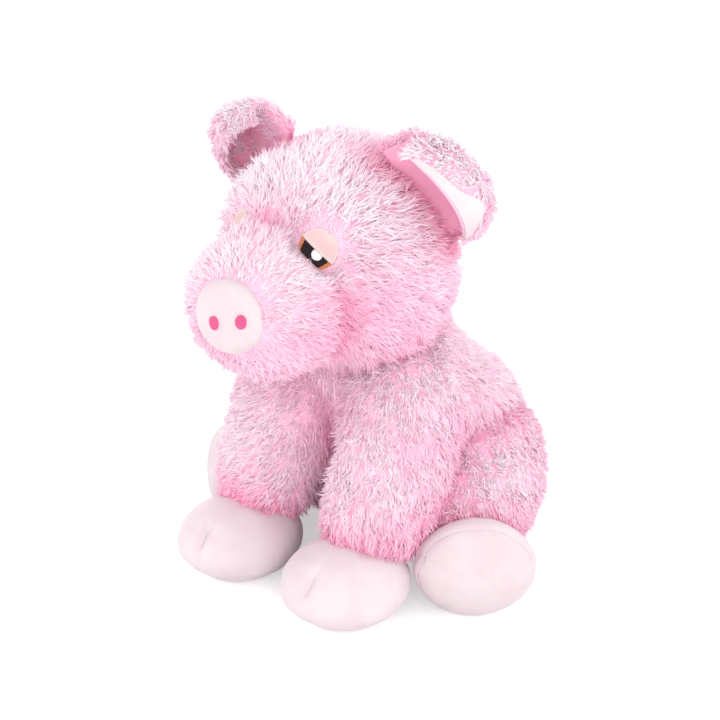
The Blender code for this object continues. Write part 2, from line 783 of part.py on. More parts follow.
def hind_sole_box(word, side, extra):
    """The slice in front of the sole's seam."""
    name = "hind_sole_slice_" + word + ("_wide" if extra else "")
    seam = -HIND_FOOT_HALF_THICKNESS * HIND_SOLE_SHARE + extra
    half_width = HIND_FOOT_HALF_WIDTH + OVERRUN
    half_height = HIND_FOOT_HALF_HEIGHT + OVERRUN
    made = box_cutter(name, Vector((-half_width, -HIND_FOOT_HALF_THICKNESS - OVERRUN, -half_height)),
                      Vector((half_width, seam, half_height)))
    turn = Matrix.Rotation(HIND_FOOT_TURN * side, 3, "Z")
    made.data.transform(turn.to_4x4())
    made.location = mirrored(hind_foot_centre(), side)
    return made


def make_limbs():
    for word, side in SIDES:
        make_limb(word, side, "front", front_leg_place, front_foot_place, shoulder(),
                  front_sole_box)
        front = (cutter("front_leg_space_" + word, front_leg_place, MID, side, SWING_GAP),
                 cutter("front_foot_space_" + word, front_foot_place, MID, side, SWING_GAP))
        make_limb(word, side, "hind", hind_leg_place, hind_foot_place, hip(), hind_sole_box, front)


# Tail

def make_tail():
    root = tail_point()
    pivot = empty("tail_pivot", root)
    curve = bpy.data.curves.new("tail", "CURVE")
    curve.dimensions = "3D"
    curve.bevel_depth = TAIL_RADIUS
    curve.bevel_resolution = 2
    curve.use_fill_caps = True
    spline = curve.splines.new("POLY")
    spline.points.add(TAIL_POINTS - 1)
    for step in range(TAIL_POINTS):
        share = step / (TAIL_POINTS - 1)
        angle = TAIL_CURL_TURNS * 2 * math.pi * share
        swing = TAIL_CURL_RADIUS * smooth(share * 2)
        point = Vector((-swing * math.sin(angle), TAIL_LENGTH * share,
                        TAIL_CURL_RADIUS * (1 - math.cos(angle)) * smooth(share * 2)))
        spline.points[step].co = (*point, 1)
        spline.points[step].radius = mix(1, TAIL_TIP_SHARE, share)
    source = bpy.data.objects.new("tail_curve", curve)
    collection(CUTTERS).objects.link(source)
    bpy.context.view_layer.update()
    mesh = bpy.data.meshes.new_from_object(
        source.evaluated_get(bpy.context.evaluated_depsgraph_get()))
    shape = bmesh.new()
    shape.from_mesh(mesh)
    bmesh.ops.remove_doubles(shape, verts=shape.verts, dist=SEAM_GAP / 10)
    shape.to_mesh(mesh)
    shape.free()
    bpy.data.objects.remove(source, do_unlink=True)
    made = new_object("tail", mesh, PARTS, "long_pile")
    made.parent = pivot
    sewn_end = ball_cutter("tail_sewn_end", root, TAIL_RADIUS * TAIL_SOCKET_SHARE - SEAM_GAP, MID)
    cut(made, sewn_end, operation="UNION")


def main():
    clear_scene()
    make_torso()
    nod = empty("neck_pivot", neck_point())
    make_neck(nod)
    make_head(nod)
    make_nose(nod)
    make_eyes(nod)
    make_ears(nod)
    make_limbs()
    make_tail()
    bpy.context.view_layer.update()


main()
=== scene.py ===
"""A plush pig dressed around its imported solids: pile, velour, embroidery, light and camera.

All lengths are metres in the frame's own axes: +Z up, the pig faces -Y, its left side is +X.
"""
import functools
import math
import random

import bmesh
import bpy
from bpy.props import FloatProperty, FloatVectorProperty, PointerProperty
from mathutils import Matrix, Vector, noise
from mathutils.bvhtree import BVHTree


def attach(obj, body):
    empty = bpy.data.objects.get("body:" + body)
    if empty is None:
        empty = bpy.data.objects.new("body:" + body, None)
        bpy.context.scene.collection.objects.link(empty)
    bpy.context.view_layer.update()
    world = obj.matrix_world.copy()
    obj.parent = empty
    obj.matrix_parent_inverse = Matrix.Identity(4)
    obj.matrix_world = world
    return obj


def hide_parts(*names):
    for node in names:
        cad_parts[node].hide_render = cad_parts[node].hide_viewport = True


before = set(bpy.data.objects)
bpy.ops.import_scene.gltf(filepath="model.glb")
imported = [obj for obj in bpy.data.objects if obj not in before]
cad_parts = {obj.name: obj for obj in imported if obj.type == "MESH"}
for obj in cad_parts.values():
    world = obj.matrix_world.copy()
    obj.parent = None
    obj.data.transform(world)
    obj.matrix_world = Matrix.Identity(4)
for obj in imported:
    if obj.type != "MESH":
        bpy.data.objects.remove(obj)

bl_info = {
    "name": "Plush Pig",
    "version": (1, 0, 0),
    "blender": (4, 5, 0),
    "location": "3D View > Sidebar > Plush Pig",
    "description": "Dresses the plush pig's solids with pile, velour and embroidery",
    "category": "Object",
}

# The object's own sizes, as its solids have them
SEAM_GAP = 0.0003
FLOOR_CUT = 0.0005
NECK = Vector((0, -0.012, 0.088))
NECK_RADIUS = 0.042
NECK_LEAN = math.radians(22)
BELLY_HALF_WIDTH = 0.054
BELLY_HALF_DEPTH = 0.050
BELLY_BACK = 0.011
BELLY_LEVEL_SHARE = 0.34
NECK_SEAM_SHARE = 0.42
SEAT_FLATNESS_SHARE = 1.9
SEAT_FULLNESS_SHARE = 2.4
HEAD_MIDDLE = Vector((0, -0.042, 0.1595))
HEAD_HALF = Vector((0.052, 0.050, 0.052))
CHEEK_SHARE = 0.13
MUZZLE_MIDDLE = Vector((0, -0.096, 0.147))
MUZZLE_HALF = Vector((0.034, 0.030, 0.031))
NOSE_SIDE = 0.0065
NOSE_LIFT = 0.003
NOSE_HALF = Vector((0.0172, 0.008, 0.017))
NOSE_PROUD = 0.003
NOSE_ROLL = math.radians(-10)
NOSTRIL_SPREAD = 0.0062
NOSTRIL_SIDE = 0.0040
NOSTRIL_HALF = (0.0021, 0.0029)
EYE_TURN = math.radians(28)
EYE_RISE = math.radians(16.5)
EYE_DROOP = math.radians(40)
EYE_RADIUS = 0.0092
EYE_OPENING = 0.0058
HIGHLIGHT_RADIUS = 0.0023
EAR_RISE_ANGLE = math.radians(37.5)
EAR_TURN_BACK = math.radians(7)
EAR_SEAM_LEAN = math.radians(25)
EAR_DROOP = math.radians(10)
EAR_LEAN_BACK = math.radians(-5)
EAR_SINK = 0.003
EAR_HALF_WIDTH = 0.0256
EAR_TIP_WIDTH_SHARE = 0.88
EAR_ROUND_SHARE = 0.87
EAR_RISE = 0.028
EAR_FOLD_RADIUS = 0.012
EAR_FOLD_TURN = math.radians(140)
EAR_FALL = 0.005
EAR_LINING_THICKNESS = 0.0015
SHOULDER = Vector((0.035, -0.038, 0.088))
FRONT_LEG_RADIUS = 0.0255
FRONT_LEG_LENGTH = 0.072
FRONT_LEG_TOE_OUT = math.radians(-2)
FRONT_LEG_LEAN = math.radians(26)
LEG_FULLNESS_SHARE = 4.0
FRONT_FOOT_MIDDLE = Vector((0.033, -0.080, 0))
FRONT_FOOT_HALF_WIDTH = 0.0285
FRONT_FOOT_HALF_LENGTH = 0.031
FRONT_FOOT_HEIGHT = 0.037
FRONT_FOOT_WAIST_SHARE = 0.45
FRONT_FOOT_FLATNESS_SHARE = 1.0
FRONT_SOLE_HEIGHT = 0.009
TOE_CLEFT_DEPTH_SHARE = 0.14
TOE_CLEFT_WIDTH_SHARE = 0.30
HIP = Vector((0.042, 0.008, 0.044))
HIND_LEG_RADIUS = 0.031
HIND_LEG_LENGTH = 0.056
HIND_LEG_SPLAY = math.radians(33)
HIND_LEG_DROP = math.radians(18)
HIND_LEG_TAPER_SHARE = 0.25
HIND_FOOT_SPREAD = 0.0761
HIND_FOOT_FORWARD = 0.0406
HIND_FOOT_HALF_WIDTH = 0.0279
HIND_FOOT_HALF_HEIGHT = 0.0238
HIND_FOOT_HALF_THICKNESS = 0.014
HIND_FOOT_TURN = math.radians(42)
HIND_SOLE_SHARE = 0.35
HIND_CLEFT_ANGLE = math.radians(130)
TAIL_ROOT = Vector((0, 0.061132, 0.041372))
TAIL_RADIUS = 0.0045
TAIL_TIP_SHARE = 0.55
TAIL_CURL_RADIUS = 0.009
TAIL_CURL_TURNS = 1.25
TAIL_LENGTH = 0.018

# How the cloth lies in the solids' space
PILE_SINK = 0.0018
FILLET_HEIGHT = 0.0055
FILLET_REACH = 0.012
FILLET_EYE_GAP = 0.003
BROW = Vector((0.036, -0.066, 0.184))
BROW_REACH = 0.022
BROW_SWELL = 0.0040
BROW_LENGTH_SHARE = 0.45

# The pig's sides, and into how many faces around and up a form is divided
SIDES = (("left", 1), ("right", -1))
FINE = (96, 64)
MIDDLING = (72, 48)
ROUGH = (28, 18)
LUMP_FINER_SHARE = 2.3

# How the pile lies and where it stops
TUFT_SWELL = 2.2
TUFT_TWIST = 1.1
TUFT_SIZES = (0.72, 1.12)
CLUMP_SIZE_SPREAD = 0.3
SWIRL_SIZE = 0.011
FLOOR_PRESS_SHARE = 0.05
FLOOR_CLEARANCE = 0.0006
SEAM_COVER_SHARE = 0.4
COVER_FADE_START = 0.003
COVER_FADE_SPAN = 0.003
COVER_END = 0.013
LEAST_LIE = 0.05
# Painted shade in creases: its reach beside other forms and at the ears, the height where the ears' shade
# starts, and the shoulders' share
CREASE_SHADE_REACH = 0.008
EAR_CREASE_SHADE_REACH = 0.014
EAR_CREASE_SHADE_LEVEL = 0.16
SHOULDER_CREASE_SHADE_SHARE = 0.3
SHOULDER_SOFT_HEIGHT = 0.060
EYE_KEEP_OUT = 0.05
EYE_PARTING = 0.014
EYE_FUR_LAP = 0.0002
EYE_TRIM_SHARE = 0.5
EYE_TRIM_REACH = 0.008
NOSE_FUR_LAP = 0.0030
NOSE_TRIM_SHARE = 0.68
NOSE_TRIM_REACH = 0.010
MUZZLE_TRIM_SHARE = 0.85
MUZZLE_DENSITY_SHARE = 1.2
FLOOR_TRIM_SHARE = 0.5
FLOOR_TRIM_HEIGHT = 0.012
HEAD_PANEL_HALF = 0.020
NAPE_TRIM_SHARE = 0.74
NAPE_TRIM_START = 0.080
NAPE_TRIM_SPAN = 0.020
HIND_LENGTH_SHARE = 0.86
PILE_SEEDS = {"body": 10, "head": 20, "muzzle": 30, "front_leg": 40, "hind_leg": 50, "ear": 60,
              "tail": 80}

# How the pile is combed: away from a middle, along a fall, and away from the eyes
HEAD_COMB = (0.5, Vector((0, 0.55, -0.4)), 1.6)
MUZZLE_COMB = (0.8, Vector((0, 0.5, -0.3)), 0.8)
TORSO_COMB_OUT = 0.25
LIMB_COMB_ALONG = 0.8
LIMB_COMB_OUT = 0.5

# Where the pile is painted pinker as shade: on upright and hanging cloth and on the chest under the head,
# paler where it faces up to the light, and less so towards the back
PAINTED_SHADE_LEVEL = 0.68
PAINTED_LIGHT_BY_RISE = 1.0
PAINTED_SHADE_BACK_DROP = 0.25
PAINTED_SHADE_BACK_REACH = 0.06
NECK_PAINTED_SHADE = 0.25
NECK_PAINTED_SHADE_SPAN = 0.03

# Each finish's roughness, sheen, roughness of the sheen, and specular level
PILE_FINISH = (0.85, 0.3, 0.5, 0.1)
BACKING_FINISH = (0.95, 0.2, 0.5, 0.1)
VELOUR_FINISH = (0.8, 0.35, 0.45, 0.15)
THREAD_FINISH = (0.45, 0.15, 0.3, 0.35)
FIBRE_FINISH = (0.9, 0.4, 0.5, 0.2)
FLOOR_FINISH = (0.9, 0.0, 0.5, 0.1)

# Grain of the finishes, and the painted shade in creases and in the ear's fold
PATCH_SIZE = 0.018
PATCH_RANGE = (0.40, 0.66)
PATCH_PINK = (0.5, 0.7)
STREAK_SIZE = 0.004
STREAK_PINK = 0.2
TUFT_PINK = 0.1
# Painted shade: how much pinker the pile is in creases, and how much of it reaches the tips
CREASE_SHADE_PINK = 0.4
CREASE_SHADE_TIP_SHARE = 0.6
ROOT_RANGE = (0.0, 0.5)
KNIT_SIZE = 0.0012
BRUSH_SIZE = 0.012
BRUSH_RANGE = (0.35, 0.7)
BRUSH_SHARE = 0.6
NAP_SIZE = 0.0009
NAP_HEIGHT = 0.0003
NAP_SHARE = 0.35
NAP_STRENGTH = 0.8
# Painted shade: the stretch along the ear lining where the fold's deep pink turns to the lining's own
# colour
LINING_FOLD_SHADE_RANGE = (0.80, 1.10)
THREAD_GRAIN = 0.0003
THREAD_STRENGTH = 0.5
FIBRE_SIZE = 0.002
FIBRE_DETAIL = 4.0
FIBRE_SHADES = ((0.80, 0.80, 0.78), (0.95, 0.95, 0.94))
FLOOR_GRAIN = 0.05
FLOOR_SHADES = ((0.88, 0.88, 0.88), (0.91, 0.91, 0.91))
FINE_DETAIL = 2.0

# Seams and creases of the velour feet, and the nose's velour
NOSE_SHOWN_SHARE = 0.94
CUT_CLOSENESS = 0.000004
GROOVE_DEPTHS = {"front": 0.0005, "hind": 0.00012}
GROOVE_HALF_WIDTH = 0.0011
PINCH_DEPTH = 0.0030
PINCH_HALF_WIDTH = 0.0017
PINCH_START_SHARE = 0.56
PINCH_FADE = 0.006
PINCH_FOOT_HEIGHT = 0.0185
HIND_PINCH_DEPTH = 0.0012
HIND_PINCH_HALF_WIDTH = 0.0034
HIND_PINCH_REACH = 0.020
SADDLE_DEPTH = 0.0022
SADDLE_RADIUS = 0.0085
SADDLE_PLACE = (-0.003, 0.010)
HIND_PINCH_ANGLES = (math.radians(165), math.radians(75))
CLEFT_SHOWN_SHARE = 0.35
TOE_LIFT = 0.0062
TOE_LIFT_REACH = 0.030

# Embroidery
THREAD_STEP = 0.0008
THREAD_SIDES = 5
THREAD_PITCH_SHARE = 0.8
THREAD_ARCH = 0.0002
EYE_SEED = 20
SURFACE_STEPS = 30
PATCH_SIDES = 28
PATCH_RINGS = (1, 0.86, 0.6, 0.3)
PATCH_CORNER = 0.03
EYE_PATCH_SHARE = 0.91
RAGGED_EDGE = 0.0002
PUPIL_WIDTH = 0.0072
PUPIL_STRETCH = 1.35
SPARK_DROP = 0.0019
SPARK_SIDE = 0.0013
IRIS_LIFT = 0.0
PUPIL_LIFT = 0.0004
SPARK_LIFT = 0.0008
SPARK_DOME = 0.0003
SPARK_RAGGED_EDGE = 0.0001
LID_LIFT = 0.0006
LID_DOME = 0.0009
PATCH_ROOT = 0.0015
LID_EDGE_WIDTH = 0.0008
LID_LINE_WIDTH = 0.0011
LID_STITCH = 0.0024
IRIS_MIDDLE_SHARE = 0.8
NOSTRIL_SEED = 5
NOSTRIL_ROOT = 0.002
NOSTRIL_DOME = 0.0004
NOSTRIL_THREAD_LIFT = 0.0007
NOSTRIL_THREAD_ANGLE = 0.15
NOSTRIL_PITCH_SHARE = 0.85

# Ears, tail and filling
EAR_ROWS = 44
EAR_COLUMNS = 40
EAR_SEAM_POINTS = 8
EAR_COMB_STEP = 0.02
EAR_COMB_TURN = 0.9
# Painted shade on the ears: less crease shade on the outer sheet, and a share of the shade by facing
EAR_OUTER_CREASE_SHADE_SHARE = 0.5
EAR_PAINTED_SHADE_SHARE = 0.7
EAR_CLOTH_LIFT = 0.0012
EAR_CREASE_SIZE = 0.010
EAR_FRINGE_SPREAD = 0.8
EAR_FRINGE_SPAN = 0.12
EAR_FRINGE_END = 0.80
EAR_LINING_HALF = 0.92
EAR_FACING_WIDTH = (0.08, 0.18)
EAR_FACING_LOBE = 0.40
EAR_FACING_SPREAD = 0.40
EAR_FACING_END = 0.985
EAR_FACING_FADE = 0.05
RIGHT_EAR_FOLD = (math.radians(165), 0.010, 0.009)
EAR_FOLDS = {1: (EAR_FOLD_TURN, EAR_FALL, EAR_FOLD_RADIUS), -1: RIGHT_EAR_FOLD}
EAR_FRINGE_START = {1: 0.80, -1: 0.15}
EAR_TRIM_SHARE = 0.85
EAR_DENSITY_SHARE = 1.15
TAIL_STEPS = 60
TAIL_SIDES = 14
TAIL_PILE_ROOM = 0.0015
TAIL_ROOT_DEPTH = 0.004
TAIL_ROOT_SHARE = 1.2
# Share of painted crease shade where the tail meets the body
TAIL_CREASE_SHADE_SHARE = 0.6
TAIL_TRIM_SHARE = 0.42
TAIL_DENSITY_SHARE = 2.0
FILL_SINK = 0.0075
FOOT_FILL_SINK = 0.0032
NECK_PLUG_RISE = 0.022
NECK_PLUG_HALF = (0.0095, 0.0095, 0.037)

# Stage, from the photograph's view
LAMP_RISE = 22
LAMP_DISTANCE = 1.3
LAMP_SIZE = 0.9
FLOOR_HALF_SIZE = 6.0
FLOOR_SQUARES = 8
FLOOR_GLOW = 0.45
LENS_LENGTH = 75
SENSOR_WIDTH = 36
NEAREST_SEEN = 0.01
VIEW_AZIMUTH = 40
VIEW_ELEVATION = 22
VIEW_DISTANCE = 0.70
VIEW_TARGET = Vector((0, -0.030, 0.105))
VIEW_TARGET_PIXEL = (361, 352)
FRAME_PIXELS = 720


def shade_of(red, green, blue):
    """A colour as a screen shows it, in linear light."""
    return tuple((c / 12.92 if c <= 0.04045 else ((c + 0.055) / 1.055) ** 2.4)
                 for c in (red / 255, green / 255, blue / 255))


def smooth(share):
    share = min(max(share, 0), 1)
    return share * share * (3 - 2 * share)


def mix(first, second, share):
    return first + (second - first) * share


def mirrored(point, side):
    return Vector((point.x * side, point.y, point.z))


def side_of(point):
    return 1 if point.x > 0 else -1


def bell(apart, reach):
    """1 where apart is nothing, and near 0 from about twice the reach."""
    return math.exp(-(apart / reach) ** 2)


# Where a point of the unit ball goes on each form, on the pig's left side

def fuller(d, fullness):
    height = min(abs(d.z), 1)
    flat = math.hypot(d.x, d.y)
    if flat == 0:
        return 0, 0
    radius = (1 - height ** fullness) ** (1 / fullness)
    return d.x / flat * radius, d.y / flat * radius


def torso_place(d):
    if d.z >= NECK_SEAM_SHARE:
        return NECK + d * NECK_RADIUS
    across, along = (d.x, d.y) if d.z > 0 else fuller(d, SEAT_FULLNESS_SHARE)
    level = (1 - BELLY_LEVEL_SHARE ** SEAT_FULLNESS_SHARE) ** (1 / SEAT_FULLNESS_SHARE)
    swell = smooth((NECK_SEAM_SHARE - d.z) / (NECK_SEAM_SHARE + BELLY_LEVEL_SHARE))
    half_width = mix(NECK_RADIUS, BELLY_HALF_WIDTH / level, swell)
    half_depth = mix(NECK_RADIUS, BELLY_HALF_DEPTH / level, swell)
    middle = mix(NECK.y, BELLY_BACK, swell)
    if d.z > 0:
        height = NECK.z + d.z * NECK_RADIUS
    else:
        height = mix(-FLOOR_CUT, NECK.z, (1 + d.z) ** SEAT_FLATNESS_SHARE)
    return Vector((across * half_width, middle + along * half_depth, max(height, 0)))


def head_place(d):
    cheek = 1 + CHEEK_SHARE * -d.z
    return HEAD_MIDDLE + Vector((d.x * HEAD_HALF.x * cheek, d.y * HEAD_HALF.y, d.z * HEAD_HALF.z))


def muzzle_place(d):
    return MUZZLE_MIDDLE + d * MUZZLE_HALF


def nose_frame():
    around = math.asin(NOSE_SIDE / MUZZLE_HALF.x)
    facing = math.atan(math.tan(around) * MUZZLE_HALF.y / MUZZLE_HALF.x)
    turn = Matrix.Rotation(facing, 3, "Z")
    front = MUZZLE_MIDDLE + Vector((NOSE_SIDE, -MUZZLE_HALF.y * math.cos(around), NOSE_LIFT))
    return front + turn @ Vector((0, NOSE_HALF.y - NOSE_PROUD, 0)), turn


def nose_place(d, share=1):
    centre, turn = nose_frame()
    return centre + turn @ Vector((d.x * NOSE_HALF.x * share, d.y * NOSE_HALF.y,
                                   d.z * NOSE_HALF.z * share))


def limb(d, ball, length, taper=0):
    if d.z >= 0:
        return d * ball
    across, along = fuller(d, LEG_FULLNESS_SHARE)
    radius = ball * (1 - taper * smooth(-d.z))
    return Vector((across * radius, along * radius, d.z * length))


def front_leg_place(d):
    turn = Matrix.Rotation(-FRONT_LEG_LEAN, 3, "X") @ Matrix.Rotation(-FRONT_LEG_TOE_OUT, 3, "Y")
    return SHOULDER + turn @ limb(d, FRONT_LEG_RADIUS, FRONT_LEG_LENGTH)


def hind_leg_place(d):
    turn = (Matrix.Rotation(HIND_LEG_SPLAY, 3, "Z")
            @ Matrix.Rotation(HIND_LEG_DROP - math.pi / 2, 3, "X"))
    point = HIP + turn @ limb(d, HIND_LEG_RADIUS, HIND_LEG_LENGTH, HIND_LEG_TAPER_SHARE)
    return Vector((point.x, point.y, max(point.z, 0)))


def cleft(angle, middle, notch):
    apart = math.remainder(angle - middle, 2 * math.pi)
    return 1 - TOE_CLEFT_DEPTH_SHARE * notch * bell(apart, TOE_CLEFT_WIDTH_SHARE)


def front_foot_place(d, notch=1):
    waist = FRONT_FOOT_HEIGHT * FRONT_FOOT_WAIST_SHARE
    if d.z >= 0:
        height = mix(waist, FRONT_FOOT_HEIGHT, d.z)
    else:
        height = mix(-FLOOR_CUT, waist, (1 + d.z) ** FRONT_FOOT_FLATNESS_SHARE)
    drawn = cleft(math.atan2(d.y, d.x), -math.pi / 2, notch)
    return FRONT_FOOT_MIDDLE + Vector((d.x * FRONT_FOOT_HALF_WIDTH * drawn,
                                       d.y * FRONT_FOOT_HALF_LENGTH * drawn, max(height, 0)))


def hind_foot_centre():
    return Vector((HIND_FOOT_SPREAD, -HIND_FOOT_FORWARD, HIND_FOOT_HALF_HEIGHT - FLOOR_CUT))


def hind_foot_place(d, notch=1):
    drawn = cleft(math.atan2(-d.y, d.x), HIND_CLEFT_ANGLE, notch)
    pad = Vector((d.x * HIND_FOOT_HALF_WIDTH * drawn, -d.z * HIND_FOOT_HALF_THICKNESS,
                  -d.y * HIND_FOOT_HALF_HEIGHT * drawn))
    point = hind_foot_centre() + Matrix.Rotation(HIND_FOOT_TURN, 3, "Z") @ pad
    return Vector((point.x, point.y, max(point.z, 0)))


def ear_frame():
    out = Vector((math.cos(EAR_RISE_ANGLE) * math.cos(EAR_TURN_BACK),
                  math.cos(EAR_RISE_ANGLE) * math.sin(EAR_TURN_BACK),
                  math.sin(EAR_RISE_ANGLE)))
    normal = Vector((out.x / HEAD_HALF.x, out.y / HEAD_HALF.y, out.z / HEAD_HALF.z)).normalized()
    seam = Vector((0, 1, 0)).cross(normal).normalized()
    base = Matrix((seam, normal.cross(seam), normal)).transposed()
    turn = Matrix.Rotation(EAR_SEAM_LEAN, 3, "Z") @ Matrix.Rotation(EAR_DROOP, 3, "Y")
    return head_place(out) - normal * EAR_SINK, base @ turn


def ear_place(across, along, lift, fold=(EAR_FOLD_TURN, EAR_FALL, EAR_FOLD_RADIUS)):
    """A point of the folded ear's sheet. A fold is its turn, its fall and its radius."""
    round_off = math.sqrt(max(1 - (across * EAR_ROUND_SHARE) ** 2, 0))
    fold_turn, fall, radius = fold
    rise = (EAR_RISE + EAR_FOLD_RADIUS - radius) * round_off
    radius *= round_off
    bend = radius * fold_turn
    travel = along * (rise + bend + fall * round_off)
    heading = min(max(travel - rise, 0) / radius, fold_turn)
    past = max(travel - rise - bend, 0)
    out = min(travel, rise) + (radius + lift) * math.sin(heading) + past * math.cos(heading)
    front = radius - (radius + lift) * math.cos(heading) + past * math.sin(heading)
    half = EAR_HALF_WIDTH * mix(1, EAR_TIP_WIDTH_SHARE, smooth(along * 2 - 1))
    lean = Matrix.Rotation(-EAR_LEAN_BACK * smooth(out / EAR_RISE), 3, "X")
    return lean @ Vector((across * half, -front, out))


def eye_frame():
    out = Vector((math.sin(EYE_TURN) * math.cos(EYE_RISE), -math.cos(EYE_TURN) * math.cos(EYE_RISE),
                  math.sin(EYE_RISE)))
    level = Vector((math.cos(EYE_TURN), math.sin(EYE_TURN), 0))
    turn = Matrix((level, -out, out.cross(level).normalized())).transposed()
    return HEAD_MIDDLE.copy(), turn @ Matrix.Rotation(EYE_DROOP, 3, "Y")


# Objects and meshes

def add(name, mesh, finish):
    made = bpy.data.objects.new(name, mesh)
    bpy.context.scene.collection.objects.link(made)
    if finish:
        mesh.materials.clear()
        mesh.materials.append(finish)
    return made


def lumps(point, size, height):
    """Uneven filling under the cloth."""
    return (noise.noise(point / size) + noise.noise(point / size * LUMP_FINER_SHARE) / 2) * height


def face_outwards(shape):
    if shape.calc_volume(signed=True) < 0:
        bmesh.ops.reverse_faces(shape, faces=shape.faces)


def swell_out(shape, height_at):
    """Moves each vertex along its normal by the height that its place is given."""
    shape.normal_update()
    moves = [vertex.normal * height_at(vertex.co) for vertex in shape.verts]
    for vertex, move in zip(shape.verts, moves):
        vertex.co += move
    shape.normal_update()


def form_bmesh(place, side, density, offset=0, lump=0, lump_size=0.02):
    shape = bmesh.new()
    bmesh.ops.create_uvsphere(shape, u_segments=density[0], v_segments=density[1], radius=1)
    for vertex in shape.verts:
        vertex.co = mirrored(place(vertex.co), side)
    face_outwards(shape)
    shape.normal_update()
    if offset or lump:
        swell_out(shape, lambda p: offset + (lumps(p, lump_size, lump) if lump else 0))
    return shape


def mesh_of(name, shape, flat=False):
    mesh = bpy.data.meshes.new(name)
    shape.to_mesh(mesh)
    shape.free()
    if not flat:
        mesh.shade_smooth()
    return mesh


def tree_of(place, side, offset=0):
    """A search tree of a form's surface, for how deep a point lies in it."""
    shape = form_bmesh(place, side, ROUGH, offset)
    found = BVHTree.FromBMesh(shape)
    shape.free()
    return found


def depth_in(point, tree):
    """How far inside a form the point is: negative outside."""
    near, normal, _, distance = tree.find_nearest(point)
    return distance if (point - near).dot(normal) < 0 else -distance


# Node trees

def feed(tree, socket, value):
    if isinstance(value, bpy.types.NodeSocket):
        tree.links.new(value, socket)
    else:
        socket.default_value = value


def node(tree, kind, inputs=None, **choices):
    """A node with its choices set, and its inputs fed by name or number."""
    made = tree.nodes.new(kind)
    for key, value in choices.items():
        setattr(made, key, value)
    for key, value in (inputs or {}).items():
        feed(tree, made.inputs[key], value)
    return made


def calc(tree, operation, *values, clamp=False):
    return node(tree, "ShaderNodeMath", dict(enumerate(values)), operation=operation,
                use_clamp=clamp).outputs[0]


def vector(tree, operation, *values):
    made = tree.nodes.new("ShaderNodeVectorMath")
    made.operation = operation
    sockets = (0, 3) if operation == "SCALE" else range(len(values))
    for key, value in zip(sockets, values):
        feed(tree, made.inputs[key], value)
    return made.outputs[0]


def geometry_tree(name, inputs):
    """A node tree that takes a mesh and named values, with its end sockets."""
    tree = bpy.data.node_groups.new(name, "GeometryNodeTree")
    tree.interface.new_socket("Geometry", in_out="INPUT", socket_type="NodeSocketGeometry")
    for label, kind in inputs:
        tree.interface.new_socket(label, in_out="INPUT", socket_type="NodeSocket" + kind)
    tree.interface.new_socket("Geometry", in_out="OUTPUT", socket_type="NodeSocketGeometry")
    return tree, tree.nodes.new("NodeGroupInput").outputs, tree.nodes.new("NodeGroupOutput")


def named(tree, name, kind="FLOAT"):
    return node(tree, "GeometryNodeInputNamedAttribute", {"Name": name}, data_type=kind).outputs[0]


def store(tree, geometry, name, value, domain="POINT"):
    return node(tree, "GeometryNodeStoreNamedAttribute",
                {"Geometry": geometry, "Name": name, "Value": value}, domain=domain).outputs[0]


def finish_tree(tree, geometry, inlet, outlet, rounded_faces):
    solid = node(tree, "GeometryNodeRealizeInstances", {"Geometry": geometry}).outputs[0]
    rounded = node(tree, "GeometryNodeSetShadeSmooth",
                   {0: solid, "Shade Smooth": rounded_faces}).outputs[0]
    coloured = node(tree, "GeometryNodeSetMaterial",
                    {"Geometry": rounded, "Material": inlet["Material"]}).outputs[0]
    feed(tree, outlet.inputs[0], coloured)


def random_number(tree, low, high, seed):
    return node(tree, "FunctionNodeRandomValue", {2: low, 3: high, 8: seed},
                data_type="FLOAT").outputs[1]


def random_vector(tree, reach, seed):
    return node(tree, "FunctionNodeRandomValue", {0: (-reach,) * 3, 1: (reach,) * 3, 8: seed},
                data_type="FLOAT_VECTOR").outputs[0]


def tuft_template(tree, inlet):
    """One tapered tuft along Z that bends towards X as it rises."""
    cone = node(tree, "GeometryNodeMeshCone",
                {"Vertices": 3, "Side Segments": 2, "Fill Segments": 1, "Radius Top": 0.0,
                 "Radius Bottom": inlet["Width"], "Depth": inlet["Length"]}).outputs[0]
    place = node(tree, "GeometryNodeInputPosition").outputs[0]
    split = node(tree, "ShaderNodeSeparateXYZ", {0: place}).outputs
    along = calc(tree, "DIVIDE", split["Z"], inlet["Length"])
    swell = calc(tree, "MULTIPLY_ADD", calc(tree, "MULTIPLY", along, calc(tree, "SUBTRACT", 1.0, along)),
                 TUFT_SWELL, 1.0)
    bend = calc(tree, "MULTIPLY", calc(tree, "POWER", along, 2.0),
                calc(tree, "MULTIPLY", inlet["Bend"], inlet["Length"]))
    moved = node(tree, "ShaderNodeCombineXYZ",
                 {0: calc(tree, "ADD", calc(tree, "MULTIPLY", split["X"], swell), bend),
                  1: calc(tree, "MULTIPLY", split["Y"], swell), 2: split["Z"]}).outputs[0]
    marked = store(tree, cone, "along", along)
    return node(tree, "GeometryNodeSetPosition", {"Geometry": marked, "Position": moved}).outputs[0]


